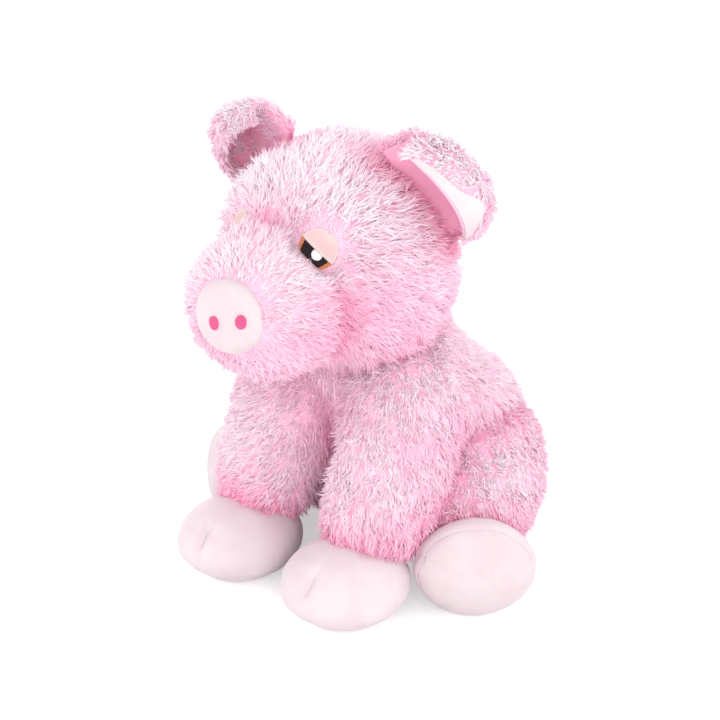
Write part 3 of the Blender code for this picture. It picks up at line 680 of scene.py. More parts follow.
def pile_tree():
    """Tufts on a cloth: combed, drawn together in clumps and pressed flat at the floor."""
    made = bpy.data.node_groups.get("Pile tufts")
    if made:
        return made
    tree, inlet, outlet = geometry_tree("Pile tufts", (
        ("Density", "Float"), ("Length", "Float"), ("Width", "Float"), ("Bend", "Float"),
        ("Lean", "Float"), ("Lift", "Float"), ("Clump Size", "Float"), ("Clump Pull", "Float"),
        ("Swirl", "Float"), ("Scatter", "Float"), ("Seed", "Int"), ("Material", "Material")))
    comb = named(tree, "comb", "FLOAT_VECTOR")
    scatter = node(tree, "GeometryNodeDistributePointsOnFaces",
                   {"Mesh": inlet["Geometry"], "Seed": inlet["Seed"],
                    "Density": calc(tree, "MULTIPLY", inlet["Density"], named(tree, "cover"))},
                   distribute_method="RANDOM")
    place = node(tree, "GeometryNodeInputPosition").outputs[0]
    cells = node(tree, "ShaderNodeTexVoronoi",
                 {"Vector": place, "Scale": calc(tree, "DIVIDE", 1.0, inlet["Clump Size"])}).outputs
    to_cell = vector(tree, "SUBTRACT", cells["Position"], place)
    pull = vector(tree, "SCALE", to_cell, calc(tree, "DIVIDE", inlet["Clump Pull"], inlet["Length"]))
    drift = node(tree, "ShaderNodeTexNoise", {"Vector": place, "Scale": 1 / SWIRL_SIZE}).outputs["Color"]
    drift = vector(tree, "SCALE", vector(tree, "SUBTRACT", drift, (0.5, 0.5, 0.5)), inlet["Swirl"])
    loose = vector(tree, "SCALE", random_vector(tree, 1.0, 3), inlet["Scatter"])
    direction = vector(tree, "SCALE", comb, inlet["Lean"])
    for part in (vector(tree, "SCALE", scatter.outputs["Normal"], inlet["Lift"]), pull, drift, loose):
        direction = vector(tree, "ADD", direction, part)
    turn = node(tree, "FunctionNodeAlignRotationToVector", {"Vector": direction}, axis="Z").outputs[0]
    fall = vector(tree, "ADD", comb, random_vector(tree, TUFT_TWIST, 5))
    turn = node(tree, "FunctionNodeAlignRotationToVector", {"Rotation": turn, "Vector": fall},
                axis="X", pivot_axis="Z").outputs[0]
    cell_tone = node(tree, "ShaderNodeSeparateXYZ", {0: cells["Color"]}).outputs[0]
    size = calc(tree, "MULTIPLY", named(tree, "trim"), random_number(tree, *TUFT_SIZES, 7))
    size = calc(tree, "MULTIPLY", size, calc(tree, "MULTIPLY_ADD", cell_tone, CLUMP_SIZE_SPREAD,
                                             1 - CLUMP_SIZE_SPREAD / 2))
    tufts = node(tree, "GeometryNodeInstanceOnPoints",
                 {"Points": scatter.outputs["Points"], "Instance": tuft_template(tree, inlet),
                  "Rotation": turn, "Scale": node(tree, "ShaderNodeCombineXYZ",
                                                  {0: size, 1: size, 2: size}).outputs[0]}).outputs[0]
    tufts = store(tree, tufts, "tint", random_number(tree, 0.0, 1.0, 11), "INSTANCE")
    solid = node(tree, "GeometryNodeRealizeInstances", {"Geometry": tufts}).outputs[0]
    split = node(tree, "ShaderNodeSeparateXYZ",
                 {0: node(tree, "GeometryNodeInputPosition").outputs[0]}).outputs
    floor = calc(tree, "MULTIPLY_ADD", split["Z"], FLOOR_PRESS_SHARE, FLOOR_CLEARANCE)
    pressed = node(tree, "ShaderNodeCombineXYZ",
                   {0: split["X"], 1: split["Y"], 2: calc(tree, "MAXIMUM", split["Z"], floor)}).outputs[0]
    solid = node(tree, "GeometryNodeSetPosition", {"Geometry": solid, "Position": pressed}).outputs[0]
    finish_tree(tree, solid, inlet, outlet, False)
    return tree


def thread_tree():
    """Round threads along the edges of a mesh, with capped ends."""
    made = bpy.data.node_groups.get("Embroidery threads")
    if made:
        return made
    tree, inlet, outlet = geometry_tree("Embroidery threads", (
        ("Width", "Float"), ("Sides", "Int"), ("Material", "Material")))
    lines = node(tree, "GeometryNodeMeshToCurve", {"Mesh": inlet["Geometry"]}).outputs[0]
    lines = store(tree, lines, "tint", random_number(tree, 0.0, 1.0, 2), "CURVE")
    ring = node(tree, "GeometryNodeCurvePrimitiveCircle",
                {"Resolution": inlet["Sides"],
                 "Radius": calc(tree, "MULTIPLY", inlet["Width"], 0.5)}, mode="RADIUS").outputs[0]
    tube = node(tree, "GeometryNodeCurveToMesh",
                {"Curve": lines, "Profile Curve": ring, "Fill Caps": True}).outputs[0]
    finish_tree(tree, tube, inlet, outlet, True)
    return tree


def grown(name, mesh, tree, values):
    """The mesh that the tree makes of this one, as a plain mesh."""
    source = add(name, mesh, None)
    change = source.modifiers.new("grow", "NODES")
    change.node_group = tree
    sockets = {item.name: item.identifier for item in tree.interface.items_tree
               if item.in_out == "INPUT"}
    for label, value in values.items():
        change[sockets[label]] = value
    bpy.context.view_layer.update()
    graph = bpy.context.evaluated_depsgraph_get()
    made = bpy.data.meshes.new_from_object(source.evaluated_get(graph))
    source.modifiers.clear()
    bpy.data.objects.remove(source)
    made.name = name
    return made


# Finishes

def blank_material(name, roughness, sheen, sheen_roughness, specular):
    made = bpy.data.materials.new(name)
    made.use_nodes = True
    shader = made.node_tree.nodes["Principled BSDF"]
    shader.inputs["Roughness"].default_value = roughness
    shader.inputs["Sheen Weight"].default_value = sheen
    shader.inputs["Sheen Roughness"].default_value = sheen_roughness
    shader.inputs["Specular IOR Level"].default_value = specular
    return made, made.node_tree, shader


def read(tree, name):
    return node(tree, "ShaderNodeAttribute", attribute_name=name).outputs


def blend_colours(tree, share, first, second):
    made = node(tree, "ShaderNodeMix", data_type="RGBA")
    feed(tree, made.inputs["Factor"], share)
    for key, value in (("A", first), ("B", second)):
        socket = [s for s in made.inputs if s.name == key and s.type == "RGBA"][0]
        feed(tree, socket, value if isinstance(value, bpy.types.NodeSocket) else (*value, 1))
    return [s for s in made.outputs if s.type == "RGBA"][0]


def ramp(tree, value, low, high):
    """0 at low to 1 at high, held at both ends."""
    return node(tree, "ShaderNodeMapRange", {"Value": value, "From Min": low, "From Max": high},
                interpolation_type="SMOOTHSTEP").outputs[0]


def noise_at(tree, size, detail=3.0, colour=False):
    where = node(tree, "ShaderNodeTexCoord").outputs["Object"]
    made = node(tree, "ShaderNodeTexNoise", {"Vector": where, "Scale": 1 / size, "Detail": detail})
    return made.outputs["Color" if colour else 0]


def bump(tree, shader, height, distance, strength=1.0):
    made = node(tree, "ShaderNodeBump", {"Height": height, "Distance": distance,
                                         "Strength": strength})
    feed(tree, shader.inputs["Normal"], made.outputs[0])


def pile_material(pig):
    """Tufts that pale from root to tip, pinker in patches and one by one, with painted shade: pinker in
    creases and on upright and hanging pile, paler where it faces up.
    """
    made = bpy.data.materials.get("long_pile_tufts")
    if made:
        return made
    made, tree, shader = blank_material("long_pile_tufts", *PILE_FINISH)
    along = read(tree, "along")["Fac"]
    crease = read(tree, "crease")["Fac"]
    painted_shade = read(tree, "painted_shade")["Fac"]
    tint = read(tree, "tint")["Fac"]
    patches = ramp(tree, noise_at(tree, PATCH_SIZE), *PATCH_RANGE)
    streaks = noise_at(tree, STREAK_SIZE)
    # Painted shade by how the pile faces and in creases, with random pink patches, streaks and tufts
    pink = calc(tree, "MULTIPLY", painted_shade, calc(tree, "MULTIPLY_ADD", patches, *PATCH_PINK))
    pink = calc(tree, "MULTIPLY_ADD", crease, CREASE_SHADE_PINK, pink)
    for value, share, held in ((streaks, STREAK_PINK, False), (tint, TUFT_PINK, True)):
        apart = calc(tree, "SUBTRACT", value, 0.5)
        pink = calc(tree, "ADD", pink, calc(tree, "MULTIPLY", apart, share), clamp=held)
    tip = blend_colours(tree, pink, pig.tip_colour, pig.pink_tip_and_shade_colour)
    # Painted shade in creases deepens the tips and roots
    tip = blend_colours(tree, calc(tree, "MULTIPLY", crease, CREASE_SHADE_TIP_SHARE), tip, pig.crease_shade_colour)
    root = blend_colours(tree, crease, pig.root_colour, pig.crease_shade_colour)
    rise = ramp(tree, along, *ROOT_RANGE)
    feed(tree, shader.inputs["Base Color"], blend_colours(tree, rise, root, tip))
    return made


def backing_material(pig):
    """The knitted backing that the pile is tufted in, with painted shade in creases."""
    made = bpy.data.materials.get("pile_backing")
    if made:
        return made
    made, tree, shader = blank_material("pile_backing", *BACKING_FINISH)
    weave = noise_at(tree, KNIT_SIZE, FINE_DETAIL)
    shade = blend_colours(tree, weave, pig.root_colour, pig.pink_tip_and_shade_colour)
    # Painted shade in creases
    shade = blend_colours(tree, read(tree, "crease")["Fac"], shade, pig.crease_shade_colour)
    feed(tree, shader.inputs["Base Color"], shade)
    bump(tree, shader, weave, KNIT_SIZE / 2)
    return made


def velour_material(pig, name, colour):
    """Short smooth nap with brushed patches and a soft sheen."""
    made = bpy.data.materials.get(name)
    if made:
        return made
    made, tree, shader = blank_material(name, *VELOUR_FINISH)
    brushed = ramp(tree, noise_at(tree, BRUSH_SIZE, FINE_DETAIL), *BRUSH_RANGE)
    fine = noise_at(tree, NAP_SIZE, FINE_DETAIL)
    darker = tuple(c * share for c, share in zip(colour, pig.brushed_share))
    shade = blend_colours(tree, calc(tree, "MULTIPLY", brushed, BRUSH_SHARE), tuple(colour), darker)
    shade = blend_colours(tree, calc(tree, "MULTIPLY", fine, NAP_SHARE), shade, darker)
    feed(tree, shader.inputs["Base Color"], shade)
    bump(tree, shader, fine, NAP_HEIGHT, NAP_STRENGTH)
    return made


def lining_material(pig):
    """Velour with painted shade: pinker deep in the ear's fold than at its free edge."""
    made = bpy.data.materials.get("lining_velour")
    if made:
        return made
    made = velour_material(pig, "lining_velour", pig.lining_colour)
    tree = made.node_tree
    shader = next(part for part in tree.nodes if part.type == "BSDF_PRINCIPLED")
    cloth = shader.inputs["Base Color"].links[0].from_socket
    # Painted shade: pinker from the free edge in towards the fold
    edge = ramp(tree, read(tree, "along")["Fac"], *LINING_FOLD_SHADE_RANGE)
    feed(tree, shader.inputs["Base Color"],
         blend_colours(tree, edge, pig.fold_shade_colour, cloth))
    return made


def thread_material(name, colour, dark, reads="tint"):
    """Silky embroidery thread, whose tone moves from the one colour to the other."""
    made = bpy.data.materials.get(name)
    if made:
        return made
    made, tree, shader = blank_material(name, *THREAD_FINISH)
    tone = read(tree, reads)["Fac"]
    fine = noise_at(tree, THREAD_GRAIN, FINE_DETAIL)
    feed(tree, shader.inputs["Base Color"], blend_colours(tree, tone, colour, dark))
    bump(tree, shader, fine, THREAD_GRAIN / 4, THREAD_STRENGTH)
    return made


def filling_material():
    made = bpy.data.materials.get("polyester_fibre")
    if made:
        return made
    made, tree, shader = blank_material("polyester_fibre", *FIBRE_FINISH)
    fine = noise_at(tree, FIBRE_SIZE, FIBRE_DETAIL)
    feed(tree, shader.inputs["Base Color"], blend_colours(tree, fine, *FIBRE_SHADES))
    bump(tree, shader, fine, FIBRE_SIZE / 2)
    return made


# Cloth forms and their pile

def forms():
    """Each form's place function and the sides that it stands on."""
    both = (1, -1)
    return {"torso": (torso_place, (1,)), "head": (head_place, (1,)), "muzzle": (muzzle_place, (1,)),
            "nose": (nose_place, (1,)), "front_leg": (front_leg_place, both),
            "hind_leg": (hind_leg_place, both), "front_foot": (front_foot_place, both),
            "hind_foot": (hind_foot_place, both)}


@functools.cache
def form_tree(name, side):
    return tree_of(forms()[name][0], side)


def neighbours(name, side, furred=False):
    """The search trees of every other form but the nose, or of the furred ones alone."""
    return [form_tree(other, hand) for other, (_, hands) in forms().items() for hand in hands
            if (other, hand) != (name, side) and other != "nose"
            and not (furred and other.endswith("foot"))]


def cover_at(deepest):
    """How much pile stands at this depth in a neighbour: all outside, little where joints bare it."""
    kept = mix(1, SEAM_COVER_SHARE, smooth((deepest - COVER_FADE_START) / COVER_FADE_SPAN))
    return kept * (1 - smooth((deepest - COVER_END) / COVER_FADE_SPAN))


def eye_distance(point):
    """How far the point is from the rim of the nearer eye, along the face: negative inside."""
    centre, turn = eye_frame()
    local = turn.transposed() @ (mirrored(point, side_of(point)) - centre)
    if local.y > 0:
        return EYE_KEEP_OUT
    low = -EYE_OPENING if local.z < 0 else -EYE_RADIUS
    return max(math.hypot(local.x, local.z) - EYE_RADIUS, low - local.z if local.z < low else -1)


def nose_distance(point):
    """How far the point is from the nose disc's rim."""
    centre, turn = nose_frame()
    local = turn.transposed() @ (point - centre)
    if local.y > NOSE_HALF.y:
        return EYE_KEEP_OUT
    return (math.hypot(local.x / NOSE_HALF.x, local.z / NOSE_HALF.z) - 1) * NOSE_HALF.x


def away_from_eye(point):
    centre, turn = eye_frame()
    middle = mirrored(centre + turn @ Vector((0, -HEAD_HALF.y, 0)), side_of(point))
    apart = point - middle
    return apart.normalized() * bell(apart.length, EYE_PARTING)


def face_comb(middle, away, fall, off_eye):
    """Away from a middle and from the eyes, and along a fall."""
    def comb(point):
        return (point - middle).normalized() * away + fall + away_from_eye(point) * off_eye
    return comb


def torso_comb(point):
    outward = Vector((point.x, point.y - BELLY_BACK, 0)).normalized()
    return Vector((0, 0, -1)) + outward * TORSO_COMB_OUT


def limb_comb(pivot, tip, side):
    """Down the limb and outwards, so that the pile parts where the limb meets the body."""
    along = (mirrored(tip, side) - mirrored(pivot, side)).normalized()

    def comb(point):
        return along * LIMB_COMB_ALONG + Vector((side * LIMB_COMB_OUT, 0, 0))
    return comb


@functools.cache
def ear_seam():
    """Points along the left ear's seam and along the free edge of its flap."""
    centre, turn = ear_frame()
    return [centre + turn @ ear_place(-1 + k / EAR_SEAM_POINTS, along, 0)
            for k in range(2 * EAR_SEAM_POINTS + 1) for along in (0, 1)]


def ear_crease_shade(point):
    """How much painted shade the point gets in the clefts at an ear's seam and under the edge of its
    flap.
    """
    hand = mirrored(point, side_of(point))
    apart = min((hand - spot).length for spot in ear_seam())
    return bell(apart, EAR_CREASE_SHADE_REACH)


def painted_shade_at(point, normal):
    """How pink the pile is painted as shade: pale where it lies upwards to the light or to the back,
    pinker on upright and hanging cloth.
    """
    back = PAINTED_SHADE_BACK_DROP * smooth(point.y / PAINTED_SHADE_BACK_REACH)
    return min(max(PAINTED_SHADE_LEVEL - PAINTED_LIGHT_BY_RISE * normal.z - back, 0), 1)


def depth_and_crease_shade(point, others):
    """How deep the point lies in the other forms, and the share of painted shade in the crease beside
    them.
    """
    deepest = max(depth_in(point, tree) for tree in others)
    return deepest, math.exp(min(deepest, 0) / CREASE_SHADE_REACH)


def pile_marks(shape):
    """What writes on a vertex how the pile lies, and its cover, painted crease shade, trim and painted
    shade by facing.
    """
    layers = shape.verts.layers
    combs = layers.float_vector.new("comb")
    shares = [layers.float.new(name) for name in ("cover", "crease", "trim", "painted_shade")]

    def mark(vertex, comb, *values):
        vertex[combs] = comb
        for layer, value in zip(shares, values, strict=True):
            vertex[layer] = value
    return mark


def mark_pile(shape, comb, others, trim=None, soft_above=None):
    """Marks a form's pile beside the other forms, the eyes and the ears, with painted shade in its
    creases and by how it faces.
    """
    mark = pile_marks(shape)
    for vertex in shape.verts:
        # Painted shade in the crease beside other forms, softened at the top of the shoulders
        deepest, crease = depth_and_crease_shade(vertex.co, others)
        if soft_above:
            crease *= mix(1, SHOULDER_CREASE_SHADE_SHARE, smooth((vertex.co.z - soft_above) / soft_above * 2))
        lie = comb(vertex.co)
        lie = lie - vertex.normal * lie.dot(vertex.normal)
        lie = lie.normalized() if lie.length > LEAST_LIE else vertex.normal.orthogonal()
        bare, short = trim(vertex.co) if trim else (1, 1)
        # More painted shade in the clefts at the ears, and none on the eyes
        if vertex.co.z > EAR_CREASE_SHADE_LEVEL:
            crease = max(crease, ear_crease_shade(vertex.co))
        crease *= smooth(eye_distance(vertex.co) / EYE_PARTING)
        # Painted shade by how the pile faces, and more on the chest and shoulders under the head
        painted_shade = painted_shade_at(vertex.co, vertex.normal)
        if soft_above:
            painted_shade += NECK_PAINTED_SHADE * smooth((vertex.co.z - soft_above) / NECK_PAINTED_SHADE_SPAN)
        mark(vertex, lie, cover_at(deepest) * bare, crease, short, min(painted_shade, 1))


def pile_values(pig, seed, length_share=1.0, density_share=1.0):
    return {"Density": pig.tufts_per_square_mm * 1e6 * density_share,
            "Length": pig.tuft_length * length_share, "Width": pig.tuft_width / 2,
            "Bend": pig.tuft_bend, "Lean": pig.pile_lean, "Lift": pig.pile_lift,
            "Clump Size": pig.clump_size, "Clump Pull": pig.clump_pull, "Swirl": pig.swirl,
            "Scatter": pig.scatter, "Seed": seed, "Material": pile_material(pig)}


WHOLE = (("", lambda point: True),)


def grow_pile(pig, name, cloth, body, seed, panels, length_share=1.0, density_share=1.0):
    """One pile piece on each panel of the cloth. A panel is a name and a test of a face's middle."""
    for number, (panel, holds) in enumerate(panels):
        shape = bmesh.new()
        shape.from_mesh(cloth)
        apart = [face for face in shape.faces if not holds(face.calc_center_median())]
        bmesh.ops.delete(shape, geom=apart, context="FACES")
        label = "_".join(part for part in (name, "pile", panel) if part)
        source = mesh_of(label + "_ground", shape)
        mesh = grown(label, source, pile_tree(),
                     pile_values(pig, seed + number, length_share, density_share))
        piece = add(label, mesh, None)
        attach(piece, body)


def level_cloth(point):
    return 0


def dress(pig, name, form, side, body, node_name, comb, density, panels, seed, trim=None,
          length_share=1.0, density_share=1.0, swell=level_cloth, soft_above=None):
    """A cloth form with its pile, in the place of one solid."""
    shape = form_bmesh(forms()[form][0], side, density, -PILE_SINK, pig.lump_height, pig.lump_size)
    furred = neighbours(form, side, furred=True)

    def fillet(point):
        gap = min(depth_and_crease_shade(point, furred)[0], 0) / FILLET_REACH
        clear = smooth((eye_distance(point) - FILLET_EYE_GAP) / FILLET_EYE_GAP)
        return FILLET_HEIGHT * clear * math.exp(-gap * gap) + swell(point)
    swell_out(shape, fillet)
    mark_pile(shape, comb, neighbours(form, side), trim, soft_above)
    mesh = mesh_of(name + "_cloth", shape)
    cloth = add(name + "_cloth", mesh, backing_material(pig))
    grow_pile(pig, name, mesh, body, seed, panels, length_share, density_share)
    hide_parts(node_name)
    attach(cloth, body)
    return cloth


def floor_trim(point):
    """The pile on the underside is pressed thin."""
    return 1, mix(FLOOR_TRIM_SHARE, 1, smooth(point.z / FLOOR_TRIM_HEIGHT))


def torso_trim(point):
    """The pile is pressed thin under the seat and lies short at the nape."""
    bare, short = floor_trim(point)
    nape = smooth((point.z - NAPE_TRIM_START) / NAPE_TRIM_SPAN) * smooth(point.y / NAPE_TRIM_SPAN)
    return bare, short * mix(1, NAPE_TRIM_SHARE, nape)


def brow_share(point):
    """How near the point is to the middle of the thick pile above and outside an eye."""
    apart = (mirrored(point, side_of(point)) - BROW).length
    return bell(apart, BROW_REACH)


def brow_swell(point):
    return BROW_SWELL * brow_share(point)


def head_trim(point):
    gap = eye_distance(point)
    bare = smooth((gap + EYE_FUR_LAP) / EYE_FUR_LAP)
    short = mix(EYE_TRIM_SHARE, 1, smooth(gap / EYE_TRIM_REACH))
    nape = smooth((NAPE_TRIM_START + NAPE_TRIM_SPAN * 2 - point.z) / NAPE_TRIM_SPAN)
    nape *= smooth((point.y - HEAD_MIDDLE.y) / NAPE_TRIM_SPAN)
    thick = 1 + BROW_LENGTH_SHARE * brow_share(point)
    return bare, short * thick * mix(1, NAPE_TRIM_SHARE, nape)


def muzzle_trim(point):
    gap = nose_distance(point)
    bare = smooth((gap + NOSE_FUR_LAP) / NOSE_FUR_LAP)
    by_eye = mix(EYE_TRIM_SHARE, 1, smooth(eye_distance(point) / EYE_TRIM_REACH))
    return bare, mix(NOSE_TRIM_SHARE, MUZZLE_TRIM_SHARE, smooth(gap / NOSE_TRIM_REACH)) * by_eye


# Velour forms

def groove(shape, distance_of, depth):
    """Draws the surface in along a seam, as far as the seam's groove is deep."""
    swell_out(shape, lambda p: -depth * bell(distance_of(p), GROOVE_HALF_WIDTH))


def part_at(shape, point, normal, keep_above):
    """Keeps the form on one side of a seam's plane and closes it there."""
    geometry = shape.verts[:] + shape.edges[:] + shape.faces[:]
    cut = bmesh.ops.bisect_plane(shape, geom=geometry, plane_co=point, plane_no=normal,
                                 dist=CUT_CLOSENESS, clear_inner=keep_above,
                                 clear_outer=not keep_above)
    rim = [part for part in cut["geom_cut"] if isinstance(part, bmesh.types.BMEdge)]
    bmesh.ops.holes_fill(shape, edges=rim, sides=0)
    bmesh.ops.recalc_face_normals(shape, faces=shape.faces)
    face_outwards(shape)


def foot_pair(pig, word, side, kind, body, seam_point, seam_normal):
    """A velour foot and its sole, parted at the sole's seam."""
    form = kind + "_foot"
    normal = seam_normal.normalized()

    def distance(point):
        return (point - seam_point).dot(normal)
    for label, above, colour in (("foot", True, pig.velour_colour), ("sole", False, pig.sole_colour)):
        shape = form_bmesh(shown_foot(kind, side), side, FINE, 0, pig.foot_lump_height,
                           pig.foot_lump_size)
        for vertex in shape.verts:
            vertex.co.z = max(vertex.co.z, toe_lift(vertex.co) if kind == "front" else 0)
        hollow = front_hollow if kind == "front" else hind_hollow
        swell_out(shape, lambda p: -hollow(p, side))
        groove(shape, distance, GROOVE_DEPTHS[kind])
        part_at(shape, seam_point, normal, above)
        name = "_".join((kind, label, "velour", word))
        made = add(name, mesh_of(name, shape), velour_material(pig, label + "_velour", colour))
        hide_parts("_".join((kind, label, word)))
        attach(made, body)


def shown_foot(kind, side):
    """The foot's form with the shallower notch between its toes that velour keeps."""
    if kind == "front":
        return functools.partial(front_foot_place, notch=CLEFT_SHOWN_SHARE)
    return functools.partial(hind_foot_place, notch=CLEFT_SHOWN_SHARE if side < 0 else 0)


def toe_lift(point):
    """How far the sole curves up off the seat's level towards the toes."""
    front = FRONT_FOOT_MIDDLE.y - FRONT_FOOT_HALF_LENGTH + TOE_LIFT_REACH - point.y
    return TOE_LIFT * smooth(front / TOE_LIFT_REACH)


def front_hollow(point, side):
    """How deep the stitched crease between a front foot's toes is here."""
    across = point.x - FRONT_FOOT_MIDDLE.x * side
    reach = (FRONT_FOOT_MIDDLE.y - point.y) / FRONT_FOOT_HALF_LENGTH
    share = smooth((reach - PINCH_START_SHARE) * FRONT_FOOT_HALF_LENGTH / PINCH_FADE)
    share *= smooth((point.z - PINCH_FOOT_HEIGHT) / PINCH_FADE)
    return PINCH_DEPTH * share * bell(across, PINCH_HALF_WIDTH)


def hind_hollow(point, side):
    """How deep the soft hollow and the crease in a hind foot's sole are here."""
    centre = hind_foot_centre()
    local = Matrix.Rotation(-HIND_FOOT_TURN, 3, "Z") @ (mirrored(point, side) - centre)
    if local.y > 0:
        return 0
    apart = math.hypot(local.x - SADDLE_PLACE[0], local.z - SADDLE_PLACE[1])
    hollow = SADDLE_DEPTH * bell(apart, SADDLE_RADIUS)
    angle = HIND_PINCH_ANGLES[0 if side > 0 else 1]
    out = Vector((math.cos(angle), 0, math.sin(angle)))
    level = local.dot(Vector((-out.z, 0, out.x)))
    along = local.dot(out)
    crease = HIND_PINCH_DEPTH * smooth(along / HIND_PINCH_REACH) * bell(level, HIND_PINCH_HALF_WIDTH)
    return hollow + crease


# Embroidery

def head_surface(origin, direction):
    """Where a ray from inside the head meets its surface, and the way out there."""
    def share(point):
        rise = (point.z - HEAD_MIDDLE.z) / HEAD_HALF.z
        cheek = 1 - CHEEK_SHARE * rise
        return ((point.x / HEAD_HALF.x / cheek) ** 2
                + ((point.y - HEAD_MIDDLE.y) / HEAD_HALF.y) ** 2 + rise ** 2)
    low, high = 0, 2 * HEAD_HALF.z
    for _ in range(SURFACE_STEPS):
        middle = (low + high) / 2
        if share(origin + direction * middle) < 1:
            low = middle
        else:
            high = middle
    point = origin + direction * low
    out = Vector((point.x / HEAD_HALF.x ** 2, (point.y - HEAD_MIDDLE.y) / HEAD_HALF.y ** 2,
                  (point.z - HEAD_MIDDLE.z) / HEAD_HALF.z ** 2))
    return point, out.normalized()


def eye_point(across, up, lift, side):
    """A point of the eye's flat pattern, laid on the head at a height above it."""
    centre, turn = eye_frame()
    origin = centre + turn @ Vector((across, 0, up))
    point, out = head_surface(origin, turn @ Vector((0, -1, 0)))
    return mirrored(point + out * lift, side)


def nose_point(across, up, lift, side=1):
    """A point of the nose disc's front, at a height above it."""
    centre, turn = nose_frame()
    x, z = across / NOSE_HALF.x, up / NOSE_HALF.z
    depth = math.sqrt(max(1 - x * x - z * z, 0))
    out = Vector((x / NOSE_HALF.x, -depth / NOSE_HALF.y, z / NOSE_HALF.z)).normalized()
    return centre + turn @ (Vector((across, -depth * NOSE_HALF.y, up)) + out * lift)


def ring(radius, count, start=0.0, turn=2 * math.pi, squash=1.0):
    angles = [start + turn * k / count for k in range(count)]
    return [(radius * math.cos(a), radius * squash * math.sin(a)) for a in angles]


def crossings(outline, level, angle):
    """Where a line at this level and angle crosses a closed outline, as pairs along the line."""
    c, s = math.cos(angle), math.sin(angle)
    found = []
    turned = [(x * c + y * s, y * c - x * s) for x, y in outline]
    for (x1, y1), (x2, y2) in zip(turned, turned[1:] + turned[:1]):
        if (y1 - level) * (y2 - level) < 0:
            found.append(x1 + (x2 - x1) * (level - y1) / (y2 - y1))
    found.sort()
    return [(a, b) for a, b in zip(found[::2], found[1::2])]


def fill_lines(outline, angle, pitch, ragged, stitch, rng):
    """Rows of thread across an outline. Long rows are broken into stitches, as a fill is."""
    c, s = math.cos(angle), math.sin(angle)
    levels = [y * c - x * s for x, y in outline]
    level = min(levels) + pitch / 2
    lines = []
    row = 0
    while level < max(levels):
        for start, end in crossings(outline, level, angle):
            start -= rng.uniform(0, ragged)
            end += rng.uniform(0, ragged)
            cuts = [start]
            if stitch:
                step = start + stitch * (row % 3 + 1) / 3
                while step < end:
                    cuts.append(step)
                    step += stitch
            cuts.append(end)
            for a, b in zip(cuts, cuts[1:]):
                if b - a > pitch:
                    lines.append([(x * c - level * s, x * s + level * c) for x in (a, b)])
        level += pitch
        row += 1
    return lines


def radial_lines(radius, span, start, turn, pitch, squash=1.0):
    """Short satin stitches across a curved edge."""
    count = max(int(abs(turn) * radius / pitch), 3)
    lines = []
    for k in range(count + 1):
        angle = start + turn * k / count
        lines.append([(r * math.cos(angle), r * squash * math.sin(angle))
                      for r in (radius - span / 2, radius + span / 2)])
    return lines


def lay_threads(pig, name, lines, place, side, lift, finish, width=None, tone=None, arch=0.0):
    """Threads along flat lines, each bowed up a little from the cloth, laid on a curved form."""
    width = width or pig.thread_width
    shape = bmesh.new()
    tones = shape.verts.layers.float.new("tone")
    for (x1, y1), (x2, y2) in lines:
        steps = max(int(math.hypot(x2 - x1, y2 - y1) / THREAD_STEP), 3)
        last = None
        for k in range(steps + 1):
            share = k / steps
            x, y = mix(x1, x2, share), mix(y1, y2, share)
            bow = (1 - (2 * share - 1) ** 4) * (width / 2 + arch) - width / 2
            vertex = shape.verts.new(place(x, y, lift + bow, side))
            vertex[tones] = tone(x, y) if tone else 0
            if last:
                shape.edges.new((last, vertex))
            last = vertex
    mesh = grown(name, mesh_of(name, shape, flat=True), thread_tree(),
                 {"Width": width, "Sides": THREAD_SIDES, "Material": finish})
    made = add(name, mesh, None)
    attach(made, "head")
    return made


def pad(name, outline, place, side, low, high, dome, finish, slot):
    """The stuffed or backed patch under the threads: a closed slab with a slightly domed top."""
    shape = bmesh.new()
    middle = (sum(x for x, _ in outline) / len(outline), sum(y for _, y in outline) / len(outline))
    bottom = [shape.verts.new(place(x, y, low, side)) for x, y in outline]
    rings = [bottom]
    for share in PATCH_RINGS:
        rings.append([shape.verts.new(place(mix(middle[0], x, share), mix(middle[1], y, share),
                                            high + dome * (1 - share ** 4), side))
                      for x, y in outline])
    for inner, outer in zip(rings, rings[1:]):
        for k in range(len(outline)):
            n = (k + 1) % len(outline)
            shape.faces.new((inner[k], inner[n], outer[n], outer[k]))
    shape.faces.new(rings[-1])
    shape.faces.new(bottom[::-1])
    bmesh.ops.recalc_face_normals(shape, faces=shape.faces)
    face_outwards(shape)
    made = add(name, mesh_of(name, shape), finish)
    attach(made, "head")
    return made


def arc(radius, start, turn, count):
    return [(radius * math.cos(start + turn * k / count), radius * math.sin(start + turn * k / count))
            for k in range(count + 1)]


def eye_lower(radius, limit, stretch=1.0):
    """The part of an oval that shows below the lid line, down to the eye's lower edge."""
    return [(x, max(z * stretch, -limit))
            for x, z in arc(radius, math.pi + PATCH_CORNER, math.pi - 2 * PATCH_CORNER,
                            PATCH_SIDES)]


